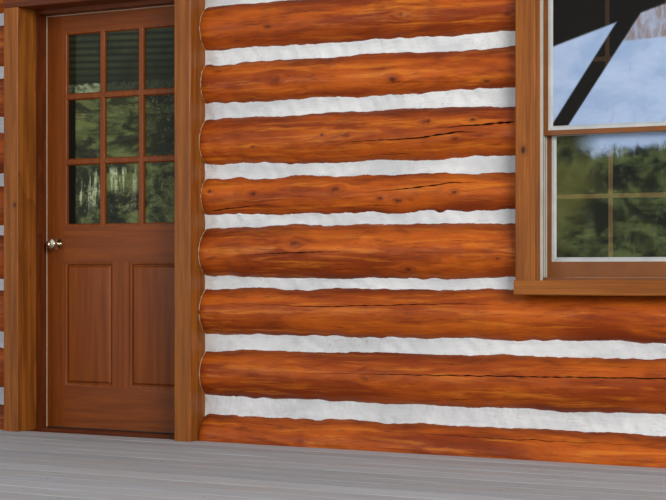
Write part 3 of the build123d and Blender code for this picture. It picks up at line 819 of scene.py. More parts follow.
def joint_edge(log, x, side, above):
    """Height where a log's surface crosses the face of the mortar on one side of the wall,
    at its crown or at its foot: the axis, up or down by the root of radius squared minus
    depth squared."""
    turn = np.arccos(np.clip(JOINT_DEPTH / plain_radius(log, x), -1, 1)) * (1 if above else -1)
    turn = turn if side == "porch" else math.pi - turn
    radius = np.maximum(peeled_radius(log, x, turn), JOINT_DEPTH + 1 * MM)
    rise = np.sqrt(radius ** 2 - JOINT_DEPTH ** 2)
    return axis_of(log, x) + (rise if above else -rise)


def lobes(seed, x):
    """How far the mortar's edge is pushed out along x, by blobs of three sizes."""
    lobe = 0.9 * bumps(seed, x, 0.045, 0.010, 0.5)
    lobe = lobe + 3.6 * bumps(seed + 1, x, 0.31, 0.015, 0.45)
    lobe = lobe + 1.3 * bumps(seed + 3, x, 0.028, 0.0045, 0.35)
    return (lobe + 0.8 + 0.3 * wander(seed + 2, 0.04, x)) * MM


def mortar_strip(lower, upper, x_span, side, seed):
    """One strip. Its face is hollow by a parabola between its two edges, uneven by the
    trowel, and pushed out at both edges by lobes of random size."""
    x = np.linspace(*x_span, max(3, round((x_span[1] - x_span[0]) / FACE_STEP[side])))
    foot = joint_edge(lower, x, side, True)
    crown = joint_edge(upper, x, side, False)
    share = 0.5 - 0.5 * np.cos(math.pi * np.linspace(0, 1, FACE_ROWS[side])[:, None])
    z = (foot - BITE) * (1 - share) + (crown + BITE) * share
    flat_share = np.clip((z - foot) / (crown - foot), 0, 1)
    hollow = 1.8 * MM * (1 - (2 * flat_share - 1) ** 2)
    trowel = 0.9 * MM * wander(seed, 0.11, x, z * 30, 3, 1)
    trowel = trowel + 0.4 * MM * wander(seed + 1, 0.03, x, z * 60, 4, 1)
    near_foot = np.exp(-((z - foot) / LOBE_REACH) ** 2)
    near_crown = np.exp(-((z - crown) / LOBE_REACH) ** 2)
    out = JOINT_DEPTH - hollow + trowel + lobes(seed + 2, x) * near_foot + lobes(seed + 5, x) * near_crown
    back = np.full_like(x, JOINT_DEPTH - SKIN)
    out = np.vstack([out, back, back])
    z = np.vstack([z, crown + BITE, foot - BITE])
    return closed_tube(lattice(x, -out, z) if side == "porch" else lattice(x, out, z)[::-1])


def span_of(name):
    """The X range of a node."""
    low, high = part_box(name)
    return low.x, high.x


stacks = {
    "left": ["sill", *(f"left_{course}" for course in COURSES), "header"],
    "under_window": ["sill", "middle_1", "middle_2", "middle_3"],
    "middle": [*(f"middle_{course}" for course in COURSES[2:]), "header"],
    "right": ["middle_3", *(f"right_{course}" for course in COURSES[3:]), "header"],
    "top": ["header", "plate"],
}
for number, (place, stack) in enumerate(stacks.items()):
    strips = [mortar_strip(logs[lower], logs[upper], span_of(f"chinking_{place}"), side,
                           5000 + 900 * number + 40 * index + extra)
              for index, (lower, upper) in enumerate(zip(stack[:-1], stack[1:]))
              for side, extra in (("porch", 0), ("inside", 20))]
    make_piece(f"mortar_{place}", strips, "mortar", mortar, f"chinking_{place}")
print("with mortar:", sum(added_triangles.values()))

# %% [markdown]
# ## Bead of caulk at the log ends
# Between a log's rounded end and the post beside it runs a thin pale bead, pressed into the
# corner with a finger. It is a tube along the outline of the log, on the side of the post.

# %% Caulk beads
BEAD_REACH = 1.2
BEAD_INSET = 2.5 * MM
BEAD_SIDES = 8
caulk = plain_finish("Pale caulk", (150, 124, 98), (184, 160, 134), (0.5, 0.65), (40.0, 3.0),
                     speck=(220.0, 2.0), bump=0.0005)


def caulk_bead(log, end, seed):
    """A tube round the porch side of a log's end. Its centre follows the eased rim, and its
    radius wanders along the way."""
    x_face = log["x"][end]
    turn = np.linspace(-BEAD_REACH, BEAD_REACH, 60)
    radius = peeled_radius(log, np.full_like(turn, x_face), turn) - 0.4 * END_EASE
    thick = (3.4 + 0.8 * wander(seed, 0.4, turn)) * MM
    centre = lattice(x_face + (BEAD_INSET if end == 0 else -BEAD_INSET), -radius * np.cos(turn),
                     axis_of(log, x_face) + radius * np.sin(turn))
    outward = lattice(0.0, -np.cos(turn), np.sin(turn))
    angle = np.linspace(0, 2 * math.pi, BEAD_SIDES, endpoint=False)[:, None, None]
    ring = np.cos(angle) * np.array([1.0, 0.0, 0.0]) - np.sin(angle) * outward
    return closed_tube(centre + ring * thick[:, None])


beads = [caulk_bead(logs[f"middle_{course}"], end, 8000 + 100 * end + course)
         for course in COURSES[1:] for end in ((0, 1) if course > LOW_COURSES else (0,))]
make_piece("log_end_caulk", beads, "mortar", caulk)
print("caulk beads:", len(beads))

# %% [markdown]
# ## Weather seal of the door
# A pale bulb seal is let into the door stop and touches the closed leaf. It shows as a light
# line up the latch side and along the head, and a dark gasket closes the gap at the threshold.
# A round profile is swept along a path with two square corners, and at each corner its points
# lie on the mitre.

# %% Sweep a round profile along a path
PROFILE_SIDES = 12


def swept(path, half_width, half_depth, y_middle):
    """Sweeps an ellipse along a path in the plane of the wall. Its width lies across the path,
    stretched at corners to keep the mitre true, and its depth lies along Y."""
    run = np.diff(np.array(path, float), axis=0)
    run /= np.linalg.norm(run, axis=1)[:, None]
    before = np.vstack([run[:1], run])
    after = np.vstack([run, run[-1:]])
    side = np.stack([-(before + after)[:, 1], (before + after)[:, 0]])
    side /= np.linalg.norm(side, axis=0)
    side /= side[1] * before[:, 0] - side[0] * before[:, 1]
    angle = np.linspace(0, 2 * math.pi, PROFILE_SIDES, endpoint=False)[::-1, None]
    x, z = np.array(path, float).T[:, None] + half_width * np.cos(angle) * side[:, None]
    return closed_tube(lattice(x, y_middle + half_depth * np.sin(angle), z))


# %% Seal and gasket
SEAL_HALF_WIDTH = 3.1 * MM
SEAL_HALF_DEPTH = 4.0 * MM
SEAL_INSET = 2.5 * MM
SEAL_GAP = 0.4 * MM
GASKET_PRESS = 0.6 * MM
seal_vinyl = plain_finish("Pale seal", (150, 120, 98), (180, 152, 126), (0.45, 0.6), (30.0, 3.0))
gasket_rubber = plain_finish("Dark rubber", (34, 28, 25), (62, 52, 45), (0.55, 0.75), (60.0, 3.0),
                             (0.35, 0.7), specular_ior_level=0.3)
stop_left, stop_right = span_of("door_threshold")
seal_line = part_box("door_stiles")[0].y - SEAL_HALF_DEPTH - SEAL_GAP
threshold_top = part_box("door_threshold")[1].z
seal_left, seal_right = stop_left + SEAL_INSET, stop_right - SEAL_INSET
seal_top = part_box("door_frame_head")[0].z - SEAL_INSET
seal_path = ((seal_left, threshold_top), (seal_left, seal_top), (seal_right, seal_top),
             (seal_right, threshold_top))
make_piece("weather_seal", [swept(seal_path, SEAL_HALF_WIDTH, SEAL_HALF_DEPTH, seal_line)],
           "pale_vinyl", seal_vinyl)
gasket_half_height = (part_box("door_stiles")[0].z - threshold_top) / 2 + GASKET_PRESS
gasket_level = threshold_top + gasket_half_height
make_piece("threshold_gasket",
           [swept(((stop_left, gasket_level), (stop_right, gasket_level)), gasket_half_height,
                  SEAL_HALF_DEPTH, seal_line)],
           "pale_vinyl", gasket_rubber)
print(f"seal round the door: {seal_right - seal_left:.3f} by {seal_top - threshold_top:.3f} m")

# %% [markdown]
# ## Deck boards
# The deck is sawn softwood, grey from weather. Each board has its corners worn round, a
# shallow cup across its width and its own tone. Screws go down in pairs at every joist, and
# each head shows as a low steel dome.

# %% Deck material


def deck_material():
    """Weathered board: silver grey with long fibre streaks, darker checks and worn tone."""
    material, spot = new_material("Weathered deck board")
    tone = spot.mark("tone")
    own = spot + spot.made("CombineXYZ", {0: tone * 31.0, 2: tone})
    broad = own.noise((1.2, 9, 9))
    streak = own.noise((3, 110, 110), 5.0, 0.65, 0.3)
    split = own.noise((2.2, 260, 260), 2.0)
    colour = tone.between((144, 148, 155), (172, 175, 181)).under(
        (broad.ease(0.35, 0.65, 0.5), (166, 160, 156)), (streak.ease(0.45, 0.75, 0.6), (116, 114, 112)),
        (split.ease(0.68, 0.76, 0.8), (62, 56, 52)))
    return finished(material, colour, streak.ease(0.3, 0.7, 0.85, 0.66), streak - split.ease(0.66, 0.76),
                    0.0012, 0.8)


# %% Boards
ARRIS = 3.5 * MM
BOARD_STEP = 0.07
CUP = 0.7 * MM


def board_profile(width, thickness):
    """Cross-section of a board, from its middle: corners rounded on top, nearly square
    below, with a shallow cup on the face."""
    corner = np.linspace(0, math.pi / 2, 4)
    half = width / 2
    right = np.stack([half - ARRIS + ARRIS * np.sin(corner), -ARRIS + ARRIS * np.cos(corner)], -1)
    face = np.linspace(-half + ARRIS, half - ARRIS, 9)[1:-1]
    face = np.stack([face, -CUP * (1 - (face / half) ** 2)], -1)
    under = np.array([[half, -thickness + 1 * MM], [half - 1 * MM, -thickness]])
    return np.concatenate([right[::-1] * (-1, 1), face, right, under, under[::-1] * (-1, 1)])


boards = []
board_solids = sorted(solids_of("deck_boards"), key=lambda points: -points[:, 1].mean())
draw = np.random.default_rng(31)
for index, points in enumerate(board_solids):
    low, high = points.min(0), points.max(0)
    profile = board_profile(high[1] - low[1], high[2] - low[2])
    x = np.linspace(low[0], high[0], round((high[0] - low[0]) / BOARD_STEP))
    lift = np.minimum(-0.35 * MM * (1 + wander(60 + index, 1.3, x)), 0)
    on_top = profile[:, 1:] > -ARRIS - 0.1 * MM
    grid = lattice(x, (low[1] + high[1]) / 2 + profile[:, :1],
                   high[2] + profile[:, 1:] + np.where(on_top, lift, 0))
    boards.append(closed_tube(grid, tone=np.full(grid.shape[:2], draw.uniform(0.1, 0.9))))
make_piece("weathered_boards", boards, "deck_timber", deck_material(), "deck_boards")
print("boards:", len(boards))

# %% Screws
SCREW_INSET = 35 * MM
SCREW_RADIUS = 4.2 * MM
SCREW_RISE = 0.45 * MM
SCREW_SINK = 1.3 * MM
SCREW_STRAY = 4 * MM
SCREW_SIDES = 8
screw_steel = plain_finish("Screw steel", (92, 86, 80), (140, 132, 122), (0.4, 0.6), (400.0, 3.0),
                           metallic=1.0)


def domes(centres, radius, rise):
    """Low domes on a flat face, one for each centre: a rim ring, a half-way ring and a
    crown. All are made at once by adding every centre to one small pattern."""
    angle = np.linspace(0, 2 * math.pi, SCREW_SIDES, endpoint=False)
    circle = lattice(np.cos(angle), np.sin(angle), 0.0)
    pattern = np.concatenate([circle * radius - [0, 0, 2 * rise], circle * radius,
                              circle * 0.6 * radius + [0, 0, rise], [[0, 0, rise]], [[0, 0, -2 * rise]]])
    loops = np.arange(3 * SCREW_SIDES).reshape(3, SCREW_SIDES)
    after = np.roll(loops, -1, 1)
    crown = np.full(SCREW_SIDES, loops.size)
    faces = [np.stack([loops[:2], after[:2], after[1:], loops[1:]], -1).reshape(-1, 4),
             np.stack([loops[2], after[2], crown], -1), np.stack([after[0], loops[0], crown + 1], -1)]
    shift = np.arange(len(centres))[:, None, None] * len(pattern)
    return {"points": (centres[:, None] + pattern).reshape(-1, 3), "marks": {},
            "faces": [(face + shift).reshape(-1, face.shape[-1]) for face in faces]}


joist_middles = np.array(sorted({round(float((points[:, 0].min() + points[:, 0].max()) / 2), 4)
                                 for points in solids_of("deck_joists")}))
board_middles = np.array([float(points[:, 1].min() + points[:, 1].max()) / 2 for points in board_solids])
board_middles = np.sort(board_middles)
across, along = np.meshgrid(np.concatenate([board_middles - SCREW_INSET, board_middles + SCREW_INSET]),
                            joist_middles)
stray = np.random.default_rng(32).uniform(-SCREW_STRAY, SCREW_STRAY, (2, *across.shape))
screws = lattice(along + stray[0], across + stray[1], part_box("deck_boards")[1].z - SCREW_SINK)
make_piece("deck_screws", [domes(screws.reshape(-1, 3), SCREW_RADIUS, SCREW_RISE)], "deck_timber",
           screw_steel)
print("screws:", screws.size // 3)

# %% [markdown]
# ## What the glass shows
# Glass by itself has no colour. What gives these panes their look is the bright sky and the
# dark garden that they mirror, with the unlit room behind. A studio has neither, so a soft
# picture of both is painted into the glass: noise stretched into leaves and twigs, shared by
# door and window as one group.

# %% Garden group
garden, (garden_place,), put_out = new_group("Mirrored garden", {"Vector": "Vector"}, ("Leaves", "Glint"))
leaves = garden_place.noise((9, 9, 13), 8.0, 0.7, 0.35)
twigs = garden_place.noise((34, 34, 26), 3.0, 0.6, 0.6)
leaf = garden_place.cells((85, 85, 110))
spark = leaf["Distance"].ease(0.5, 0.2) * leaf["Color"].parts()[0].ease(0.66, 0.76)
spark = spark * leaves.ease(0.42, 0.58)
put_out(leaves.ease(0.4, 0.64), twigs.ease(0.6, 0.76).at_least(spark))

# %% [markdown]
# ## Window panes with bars between the glass
# The window's bars are thin strips inside the sealed pane, so they show behind the glass and
# its shine. Each sash gets an outer glass, the bars, a dark sheet of painted shade that stands
# for the unlit room, bars again and an inner glass, all inside the thickness of the solid pane.
# Where the painted reflection is sky it hides the bars, and where it is a dark eave they show.

# %% Glass and grille materials


def window_glass_material():
    """Glass painted with a reflection of sky below a dark eave and beside a slanting post in the
    upper sash, and of trees in the lower one. The pane mark holds the share across, the share
    down from the top, and one for the upper sash. Alpha is high where the painted reflection is bright."""
    material, spot = new_material("Window glass", ior=1.45, specular_ior_level=0.25)
    across, down, upper = spot.mark("pane", "Vector").parts()
    leaves, glint = spot.through(garden)
    cloud = spot.noise((3, 3, 5), 4.0, 0.6, 0.2)
    branch = spot.noise((22, 22, 6), 5.0, 0.65, 0.5)

    eave = (down - (0.4 - across * 0.395).at_least(0.14)).ease(0.012, -0.012)
    post_left = across + down * 0.521 - 0.515
    post_right = 0.626 - (across + down * 0.53)
    open_sky = 1.0 - eave.at_least(post_left.ease(-0.008, 0.008) * post_right.ease(-0.008, 0.008))
    low_sky = (down - cloud * 0.3 + branch * 0.16).ease(0.13, 0.05) * across.ease(0.1, 0.3)
    bare = (down + across * 0.06).ease(0.42, 0.4) * branch.ease(0.4, 0.6, 1.0, 0.3)
    sky = cloud.ease(0.35, 0.65).between((158, 184, 222), (186, 206, 238)).under(
        (branch.ease(0.58, 0.75, 0.3), (128, 142, 174)),
        (bare * (upper * across.ease(0.36, 0.4)), (146, 132, 132)))
    sunny = across.ease(0.36, 0.08, 0.6) * cloud.ease(0.4, 0.6)
    low = leaves.between((24, 34, 24), (104, 120, 70)).under(
        (glint * 0.5, (156, 166, 122)), (sunny, (124, 126, 62)), (low_sky, sky))
    colour = upper.between(low, open_sky.between((16, 14, 12), sky))
    cover = upper.made("Mix", {0: upper, 2: low_sky * 0.3 + 0.34, 3: open_sky * 0.19 + 0.48})
    return finished(material, colour, cloud.ease(0.3, 0.7, 0.06, 0.03), alpha=cover)


dim_room = plain_finish("Dim room", (16, 13, 11), (40, 31, 22), (0.6, 0.8), ((5, 5, 3), 3.0, 0.5, 0.5),
                        (0.35, 0.65), specular_ior_level=0.2)
bar_paint = plain_finish("Grille bar paint", (156, 116, 70), (182, 138, 88), (0.4, 0.5), (60.0, 3.0))

# %% Panes and bars
OUTER_GLASS = 4 * MM
BAR_DEPTH = 2.6 * MM
BAR_LAP = 0.3 * MM
AIR = 0.4 * MM
SHEET = 1.0 * MM
BAR_WIDTH = 18 * MM
PANE_EASE = 0.8 * MM
CORNERS = np.array([(1, 1), (-1, 1), (-1, -1), (1, -1)])


def slab(x_span, y_span, z_span, upper=0.0):
    """A flat sheet with small eased corners: a rounded rectangle carried through Y. Its pane
    mark holds the share across and down, and whether it belongs to the upper sash."""
    middle = np.array([sum(x_span), sum(z_span)]) / 2
    half = np.array([x_span[1] - x_span[0], z_span[1] - z_span[0]]) / 2
    angle = np.linspace(0, math.pi / 2, 3) + np.arange(4)[:, None] * math.pi / 2
    round_corner = PANE_EASE * np.stack([np.cos(angle), np.sin(angle)], -1)
    outline = (middle + (CORNERS * (half - PANE_EASE))[:, None] + round_corner).reshape(-1, 2)
    grid = lattice(outline[:, :1], np.array(y_span), outline[:, 1:])
    across = (grid[..., 0] - x_span[0]) / (x_span[1] - x_span[0])
    down = (z_span[1] - grid[..., 2]) / (z_span[1] - z_span[0])
    return closed_tube(grid, pane=lattice(across, down, upper))


glass_sheets, room_sheets, bars = [], [], []
for upper, points in enumerate(solids_of("window_glass")):
    low, high = points.min(0), points.max(0)
    x_span, z_span = (low[0], high[0]), (low[2], high[2])
    middle = (low + high) / 2
    room_sheets.append(slab(x_span, (middle[1] - SHEET / 2, middle[1] + SHEET / 2), z_span))
    glass_sheets.append(slab(x_span, (low[1], low[1] + OUTER_GLASS), z_span, upper))
    glass_sheets.append(slab(x_span, (high[1] - OUTER_GLASS, high[1]), z_span, upper))
    for side in (-1, 1):
        near = middle[1] + side * (SHEET / 2 + AIR)
        y_span = sorted((near, near + side * BAR_DEPTH))
        for share in (1 / 3, 2 / 3):
            x = low[0] + (high[0] - low[0]) * share
            bars.append(slab((x - BAR_WIDTH / 2, x + BAR_WIDTH / 2), y_span, z_span))
        bars.append(slab(x_span, (y_span[0] + BAR_LAP, y_span[1] - BAR_LAP),
                         (middle[2] - BAR_WIDTH / 2, middle[2] + BAR_WIDTH / 2)))
make_piece("window_room_sheets", room_sheets, "window_pane", dim_room, "window_glass")
make_piece("window_glass_sheets", glass_sheets, "window_pane", window_glass_material())
make_piece("window_grille_bars", bars, "sash_timber", bar_paint)
print("window bars:", len(bars))

# %% [markdown]
# ## Door glass
# The nine lites share one sheet, and the room behind the door is unlit. A reflection of the
# porch ceiling's boards is painted into its top row, of bushes into the middle one and of light
# between stems into the lowest, all dark and green, with painted shade along the left side.

# %% Door glass material


def door_glass_material():
    """A dark painted reflection: ceiling boards, then streaks of leaves, then stems with light
    between. Painted shade darkens the left edge.
    """
    material, spot = new_material("Door glass", ior=1.45, specular_ior_level=0.2)
    low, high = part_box("door_glass")
    x, _, z = spot.parts()
    down = (high.z - z) / (high.z - low.z)
    across = (x - low.x) / (high.x - low.x)
    leaves, glint = spot.through(garden)
    haze = spot.noise((5, 5, 5), 3.0)
    layers = spot.noise((5, 5, 27), 6.0, 0.66, 0.4)
    speckle = spot.noise((60, 60, 80), 3.0, 0.6)
    bushes = spot.noise((5, 5, 9), 4.0, 0.6, 0.6)
    straw = spot.noise((9, 9, 62), 4.0, 0.6, 1.6)
    stems = spot.noise((30, 30, 4), 3.0, 0.6, 0.2)

    boards = (z + x * 0.04).step("PINGPONG", 0.0165).ease(0.003, 0.012) * down.ease(0.32, 0.12)
    lit_edge = (down + speckle * 0.03).ease(0.283, 0.293) * across.ease(0.35, 0.3, 1.0, 0.12)
    top = boards.between((30, 35, 19), (55, 63, 40)).under(
        (haze.ease(0.4, 0.7, 0.7), (22, 25, 17)),
        (lit_edge * speckle.ease(0.4, 0.62, 1.0, 0.3), (140, 152, 116)))
    shadow = bushes.ease(0.56, 0.4).step("ADD", across.ease(0.62, 0.76, 0.6), use_clamp=True)
    middle = layers.ease(0.34, 0.66).between((40, 48, 24), (104, 114, 64)).under(
        (straw.ease(0.6, 0.76, 0.7), (152, 128, 82)), (shadow * 0.85, (18, 21, 11)),
        (glint * across.ease(0.5, 0.8, 0.6, 0.1), (142, 140, 104)))
    bright = stems.ease(0.53, 0.6) * speckle.ease(0.38, 0.58, 1.0, 0.25)
    bright = bright * (down.ease(0.69, 0.73) * down.ease(0.94, 0.84)) * across.ease(0.72, 0.6)
    gloom = bushes.ease(0.52, 0.4) * down.ease(0.76, 0.86)
    lowest = leaves.between((34, 40, 22), (104, 114, 68)).under(
        (bright, (172, 182, 144)), (gloom * 0.85, (16, 18, 12)), (glint * 0.45, (146, 152, 108)))
    colour = top.under(
        (down.ease(0.325, 0.34), middle), (down.ease(0.66, 0.675), lowest),
        # Painted shade along the left edge of the glass.
        (across.ease(0.09, 0.075) * down.ease(0.25, 0.35, 1.0, 0.5), (16, 20, 18)))
    return finished(material, colour, haze.ease(0.3, 0.7, 0.06, 0.03))


# %% [markdown]
# ## Moulded panels and bars of the door
# The panels of a door are raised with a plane, and its frame and bars have a quarter round
# along every edge. Both are the same all the way round, so one outline of inset and depth is
# enough. Each of its points becomes a rectangle drawn in by the inset, and joining the
# rectangles gives a mitre at every corner by itself.

# %% Outlines carried round a rectangle


def rectangles(x_span, z_span, outline):
    """Four corners for each point of an outline, which holds how far a rectangle is drawn in
    from the spans and its Y. A negative inset lies outside the spans."""
    inset, y = np.array(outline).T
    middle = np.array([sum(x_span), sum(z_span)]) / 2
    half = np.array([x_span[1] - x_span[0], z_span[1] - z_span[0]]) / 2
    corner = middle + np.roll(CORNERS, 1, axis=0)[:, None] * (half - inset[:, None])
    return lattice(corner[..., 0], y, corner[..., 1])


def mitred_frame(x_span, z_span, outline):
    """A closed moulding round an opening: its rectangles join round the outline as well."""
    points = rectangles(x_span, z_span, outline)
    here = np.arange(points[..., 0].size).reshape(points.shape[:2])
    after = np.roll(here, -1, axis=1)
    quads = np.stack([here, after, np.roll(after, -1, axis=0), np.roll(here, -1, axis=0)], -1)
    return {"points": points.reshape(-1, 3), "faces": [quads.reshape(-1, 4)], "marks": {}}


def quarter_round(start, stop, count=7):
    """A quarter of an ellipse as outline points: it leaves start level and arrives at stop
    at full slope."""
    angle = np.linspace(0, math.pi / 2, count)
    return list(zip((start[0] + (stop[0] - start[0]) * np.sin(angle)).tolist(),
                    (start[1] + (stop[1] - start[1]) * (1 - np.cos(angle))).tolist()))


# %% Raised panels
panel_low, panel_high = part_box("door_panels")
leaf_plane = (panel_low.y + panel_high.y) / 2
crest = (panel_high.y - panel_low.y) / 2
PLATE_HALF = 7 * MM
FIELD_RISE = 11 * MM
half_outline = [(0.0, crest), *quarter_round((3 * MM, crest), (14 * MM, PLATE_HALF + 3 * MM)),
                (14 * MM, PLATE_HALF), (18.5 * MM, PLATE_HALF), (18.5 * MM, PLATE_HALF + 1.5 * MM),
                (26 * MM, PLATE_HALF + 10 * MM), (27.4 * MM, PLATE_HALF + 10.8 * MM),
                (29.5 * MM, PLATE_HALF + FIELD_RISE)]
panel_outline = ([(inset, leaf_plane - depth) for inset, depth in half_outline[::-1]]
                 + [(inset, leaf_plane + depth) for inset, depth in half_outline])
panels = [closed_tube(rectangles((points[:, 0].min(), points[:, 0].max()),
                                 (points[:, 2].min(), points[:, 2].max()), panel_outline))
          for points in solids_of("door_panels")]
make_piece("raised_door_panels", panels, "door_timber", timber["door"], "door_panels", body=LEAF,
           sharp_angle=30)
print("panels:", len(panels))

# %% Moulded bars of the lites
LITE_BAR = 33 * MM
LITE_BEAD = 16 * MM
LITES = 3
bars_low, bars_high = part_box("door_lite_bars")
glass_low, glass_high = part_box("door_glass")
glass_half = (glass_high.y - glass_low.y) / 2
bar_crest = (bars_high.y - bars_low.y) / 2
bar_outline = [(0.0, glass_half), (0.0, 8 * MM), (-1.5 * MM, 8 * MM),
               *quarter_round((-9 * MM, bar_crest), (-1.5 * MM, 9.5 * MM))[::-1],
               (-LITE_BAR / 2, bar_crest), (-LITE_BAR / 2, glass_half)]


def lite_spans(low, high):
    """The openings between bars along one direction, from the ends of the whole grille."""
    size = (high - low - 2 * LITE_BEAD - (LITES - 1) * LITE_BAR) / LITES
    starts = [low + LITE_BEAD + number * (size + LITE_BAR) for number in range(LITES)]
    return [(start, start + size) for start in starts]


lite_frames = []
for x_span in lite_spans(bars_low.x, bars_high.x):
    for z_span in lite_spans(bars_low.z, bars_high.z):
        for side in (-1, 1):
            outline = [(inset, leaf_plane + side * depth) for inset, depth in bar_outline]
            lite_frames.append(mitred_frame(x_span, z_span, outline[::-side]))
make_piece("moulded_lite_bars", lite_frames, "door_timber", timber["door"], "door_lite_bars", body=LEAF,
           sharp_angle=30)
width, height = x_span[1] - x_span[0], z_span[1] - z_span[0]
print("lites:", len(lite_frames) // 2, "each", round(width / MM), "by", round(height / MM), "mm")

# %% [markdown]
# ## Window tracks
# A sash slides in a channel of the pale track at each side, and a thin rib stands in the
# middle of the outer channel. The upper sash fills that channel only down to the meeting rail,
# so below it the grooves and ribs show as fine lines. One outline of the track, with its
# grooves cut into it, is carried straight up, and mirrored for the other side. A mark of one
# at the bottom of each groove lets the material paint shade there.

# %% Tracks with channels
CHANNEL_DEPTH = 5 * MM
CHANNELS = ((6 * MM, 20 * MM), (25 * MM, 38 * MM), (46 * MM, 80 * MM))
# The dark brown tone at the bottom of each groove is painted shade.
track_vinyl = plain_finish("Track vinyl", (172, 171, 164), (186, 185, 178), (0.42, 0.55), (12.0, 4.0),
                           (0.3, 0.7), (168.0, 3.0), groove_shade=(96, 82, 66), specular_ior_level=0.35)


def track_section(thick, depth):
    """Closed outline of a left track as X from its outer face and Y from its front: round the
    plain back first, then in and out of each groove."""
    bottom = thick - CHANNEL_DEPTH
    outline = [(thick, 0.0), (0.0, 0.0), (0.0, depth), (thick, depth)]
    for start, stop in CHANNELS[::-1]:
        outline += [(thick, stop), (bottom, stop), (bottom, start), (thick, start)]
    return np.array(outline)


tracks = []
track_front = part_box("window_tracks")[0].y
for points in solids_of("window_tracks"):
    low, high = points.min(0), points.max(0)
    thick = high[0] - low[0]
    section = track_section(thick, high[1] - low[1])
    groove = np.isclose(section[:, :1], thick - CHANNEL_DEPTH).astype(float)
    section = section + (low[0], track_front)
    if low[0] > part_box("window_glass")[0].x:
        section = section[::-1] * (-1, 1) + (low[0] + high[0], 0)
        groove = groove[::-1]
    grid = lattice(section[:, :1], section[:, 1:], np.array([low[2], high[2]]))
    tracks.append(closed_tube(grid, groove=np.repeat(groove, 2, 1)))
make_piece("channelled_tracks", tracks, "pale_vinyl", track_vinyl, "window_tracks")
print("tracks:", len(tracks))

# %% [markdown]
# ## Metal, vinyl and painted wood
# The small parts are plain in shape, and the solid model already has them. Their finishes
# still vary: nickel picks up fingerprints, vinyl chalks, and paint dulls in patches.

# %% Small-part materials
nickel = plain_finish("Bright nickel", (184, 174, 150), (212, 204, 184), (0.12, 0.22), (25.0, 4.0),
                      (0.3, 0.7), (350.0, 3.0), metallic=1.0)
hinge_metal = plain_finish("Hinge metal", (150, 142, 128), (178, 170, 156), (0.28, 0.42), (25.0, 4.0),
                           (0.3, 0.7), (350.0, 3.0), metallic=1.0)
vinyl = plain_finish("Pale vinyl", (166, 169, 170), (180, 183, 184), (0.42, 0.55), (12.0, 4.0),
                     (0.3, 0.7), (168.0, 3.0), specular_ior_level=0.35)
sash_paint = plain_finish("Sash paint", (108, 64, 30), (122, 73, 35), (0.38, 0.5), (9.0, 4.0),
                          (0.3, 0.7), (126.0, 3.0), coat_weight=0.04, specular_ior_level=0.25)
outdoor = dict(gloss=0.75, coat=0.0, bump=0.001)
joist_wood = squared_timber("Joist timber, along the house", "y", (176, 140, 96), (156, 122, 84),
                            (112, 84, 56), (70, 48, 32), **outdoor)
rim_wood = squared_timber("Rim timber", "x", (166, 136, 100), (146, 118, 86), (104, 82, 58), (70, 48, 32),
                          **outdoor)

# %% Dress the nodes that keep their shape
finishes = (
    ("frame_timber", timber["post"], "door_posts", "window_posts"),
    ("frame_timber", timber["post_level"], "window_sill", "window_head_beam"),
    ("frame_timber", timber["frame"], "door_frame_legs"),
    ("frame_timber", timber["frame_level"], "door_head_beam", "door_frame_head", "door_sill",
     "door_threshold"),
    ("door_timber", timber["door"], "door_stiles", "door_mullion"),
    ("door_timber", timber["door_level"], "door_rails"),
    ("door_pane", door_glass_material(), "door_glass"),
    ("knob_metal", nickel, "knob_roses"),
    ("hinge_metal", hinge_metal, "hinge_leaves_frame", "hinge_leaves_door"),
    ("pale_vinyl", vinyl, "glazing_beads"),
    ("pale_vinyl", sash_paint, "window_frame_rails"),
    ("sash_timber", sash_paint, "window_sashes"),
    ("joist_timber", joist_wood, "deck_joists"),
    ("joist_timber", rim_wood, "deck_ledger", "deck_rim_board"),
)
for slot, material, *names in finishes:
    for dressed in (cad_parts[name] for name in names):
        for material_slot in dressed.material_slots:
            material_slot.material = material
print("dressed nodes:", sum(len(names) for _, _, *names in finishes))

# %% [markdown]
# ## The knob
# A turned knob is a curve spun round its axis. The solid model's curve is an arc. This one adds
# what the lathe leaves: a small groove behind the face, a rounded rim and a slight dish.

# %% Turned knob
SPINDLE_RADIUS = 6.8 * MM
NECK_START = 28.3 * MM
NECK_RADIUS = 11 * MM
BELLY_LENGTH = 15 * MM
KNOB_SIDES = 48
knob_low, knob_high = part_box("door_knob")
knob_middle = (knob_low + knob_high) / 2
half_length = (knob_high.y - knob_low.y) / 2
knob_radius = (knob_high.x - knob_low.x) / 2
belly_middle = half_length - 16 * MM
shoulder = NECK_RADIUS * 1.1
outer = [(0.0, SPINDLE_RADIUS), (NECK_START, SPINDLE_RADIUS), (NECK_START, NECK_RADIUS),
         (37 * MM, NECK_RADIUS * 0.86), (44 * MM, NECK_RADIUS)]
for angle in np.linspace(-0.15, math.pi - 0.62, 22):
    swell = max(0.0, math.sin(angle + 0.15)) ** 0.6
    outer.append((belly_middle - BELLY_LENGTH * math.cos(angle),
                  shoulder + (knob_radius - shoulder) * swell))
outer += [(half_length - 1.5 * MM, 12.5 * MM), (half_length, 11 * MM), (half_length, 9 * MM),
          (half_length - 1.2 * MM, 7 * MM), (half_length - 1.6 * MM, 0.8 * MM)]
along, radius = np.array([(-along, radius) for along, radius in outer[::-1]] + outer[1:]).T
angle = np.linspace(0, 2 * math.pi, KNOB_SIDES, endpoint=False)[:, None]
knob = closed_tube(lattice(knob_middle.x + radius * np.cos(angle), knob_middle.y + along,
                           knob_middle.z + radius * np.sin(angle)))
make_piece("turned_knob", [knob], "knob_metal", nickel, "door_knob", body=KNOB, sharp_angle=50)
print("knob profile points:", len(along))

# %% [markdown]
# ## Floor, light and camera
# A pale floor, a broad soft lamp from the front right, a weaker one from the left, one behind
# and an even sky. Near the object the floor shows its shadow, and farther off it turns into the
# plain background. The camera stands at the eye height of a seated person and looks along the
# wall.

# %% Stage
BACKGROUND = (0.93, 0.94, 0.95, 1)
FLOOR_REACH = 30.0


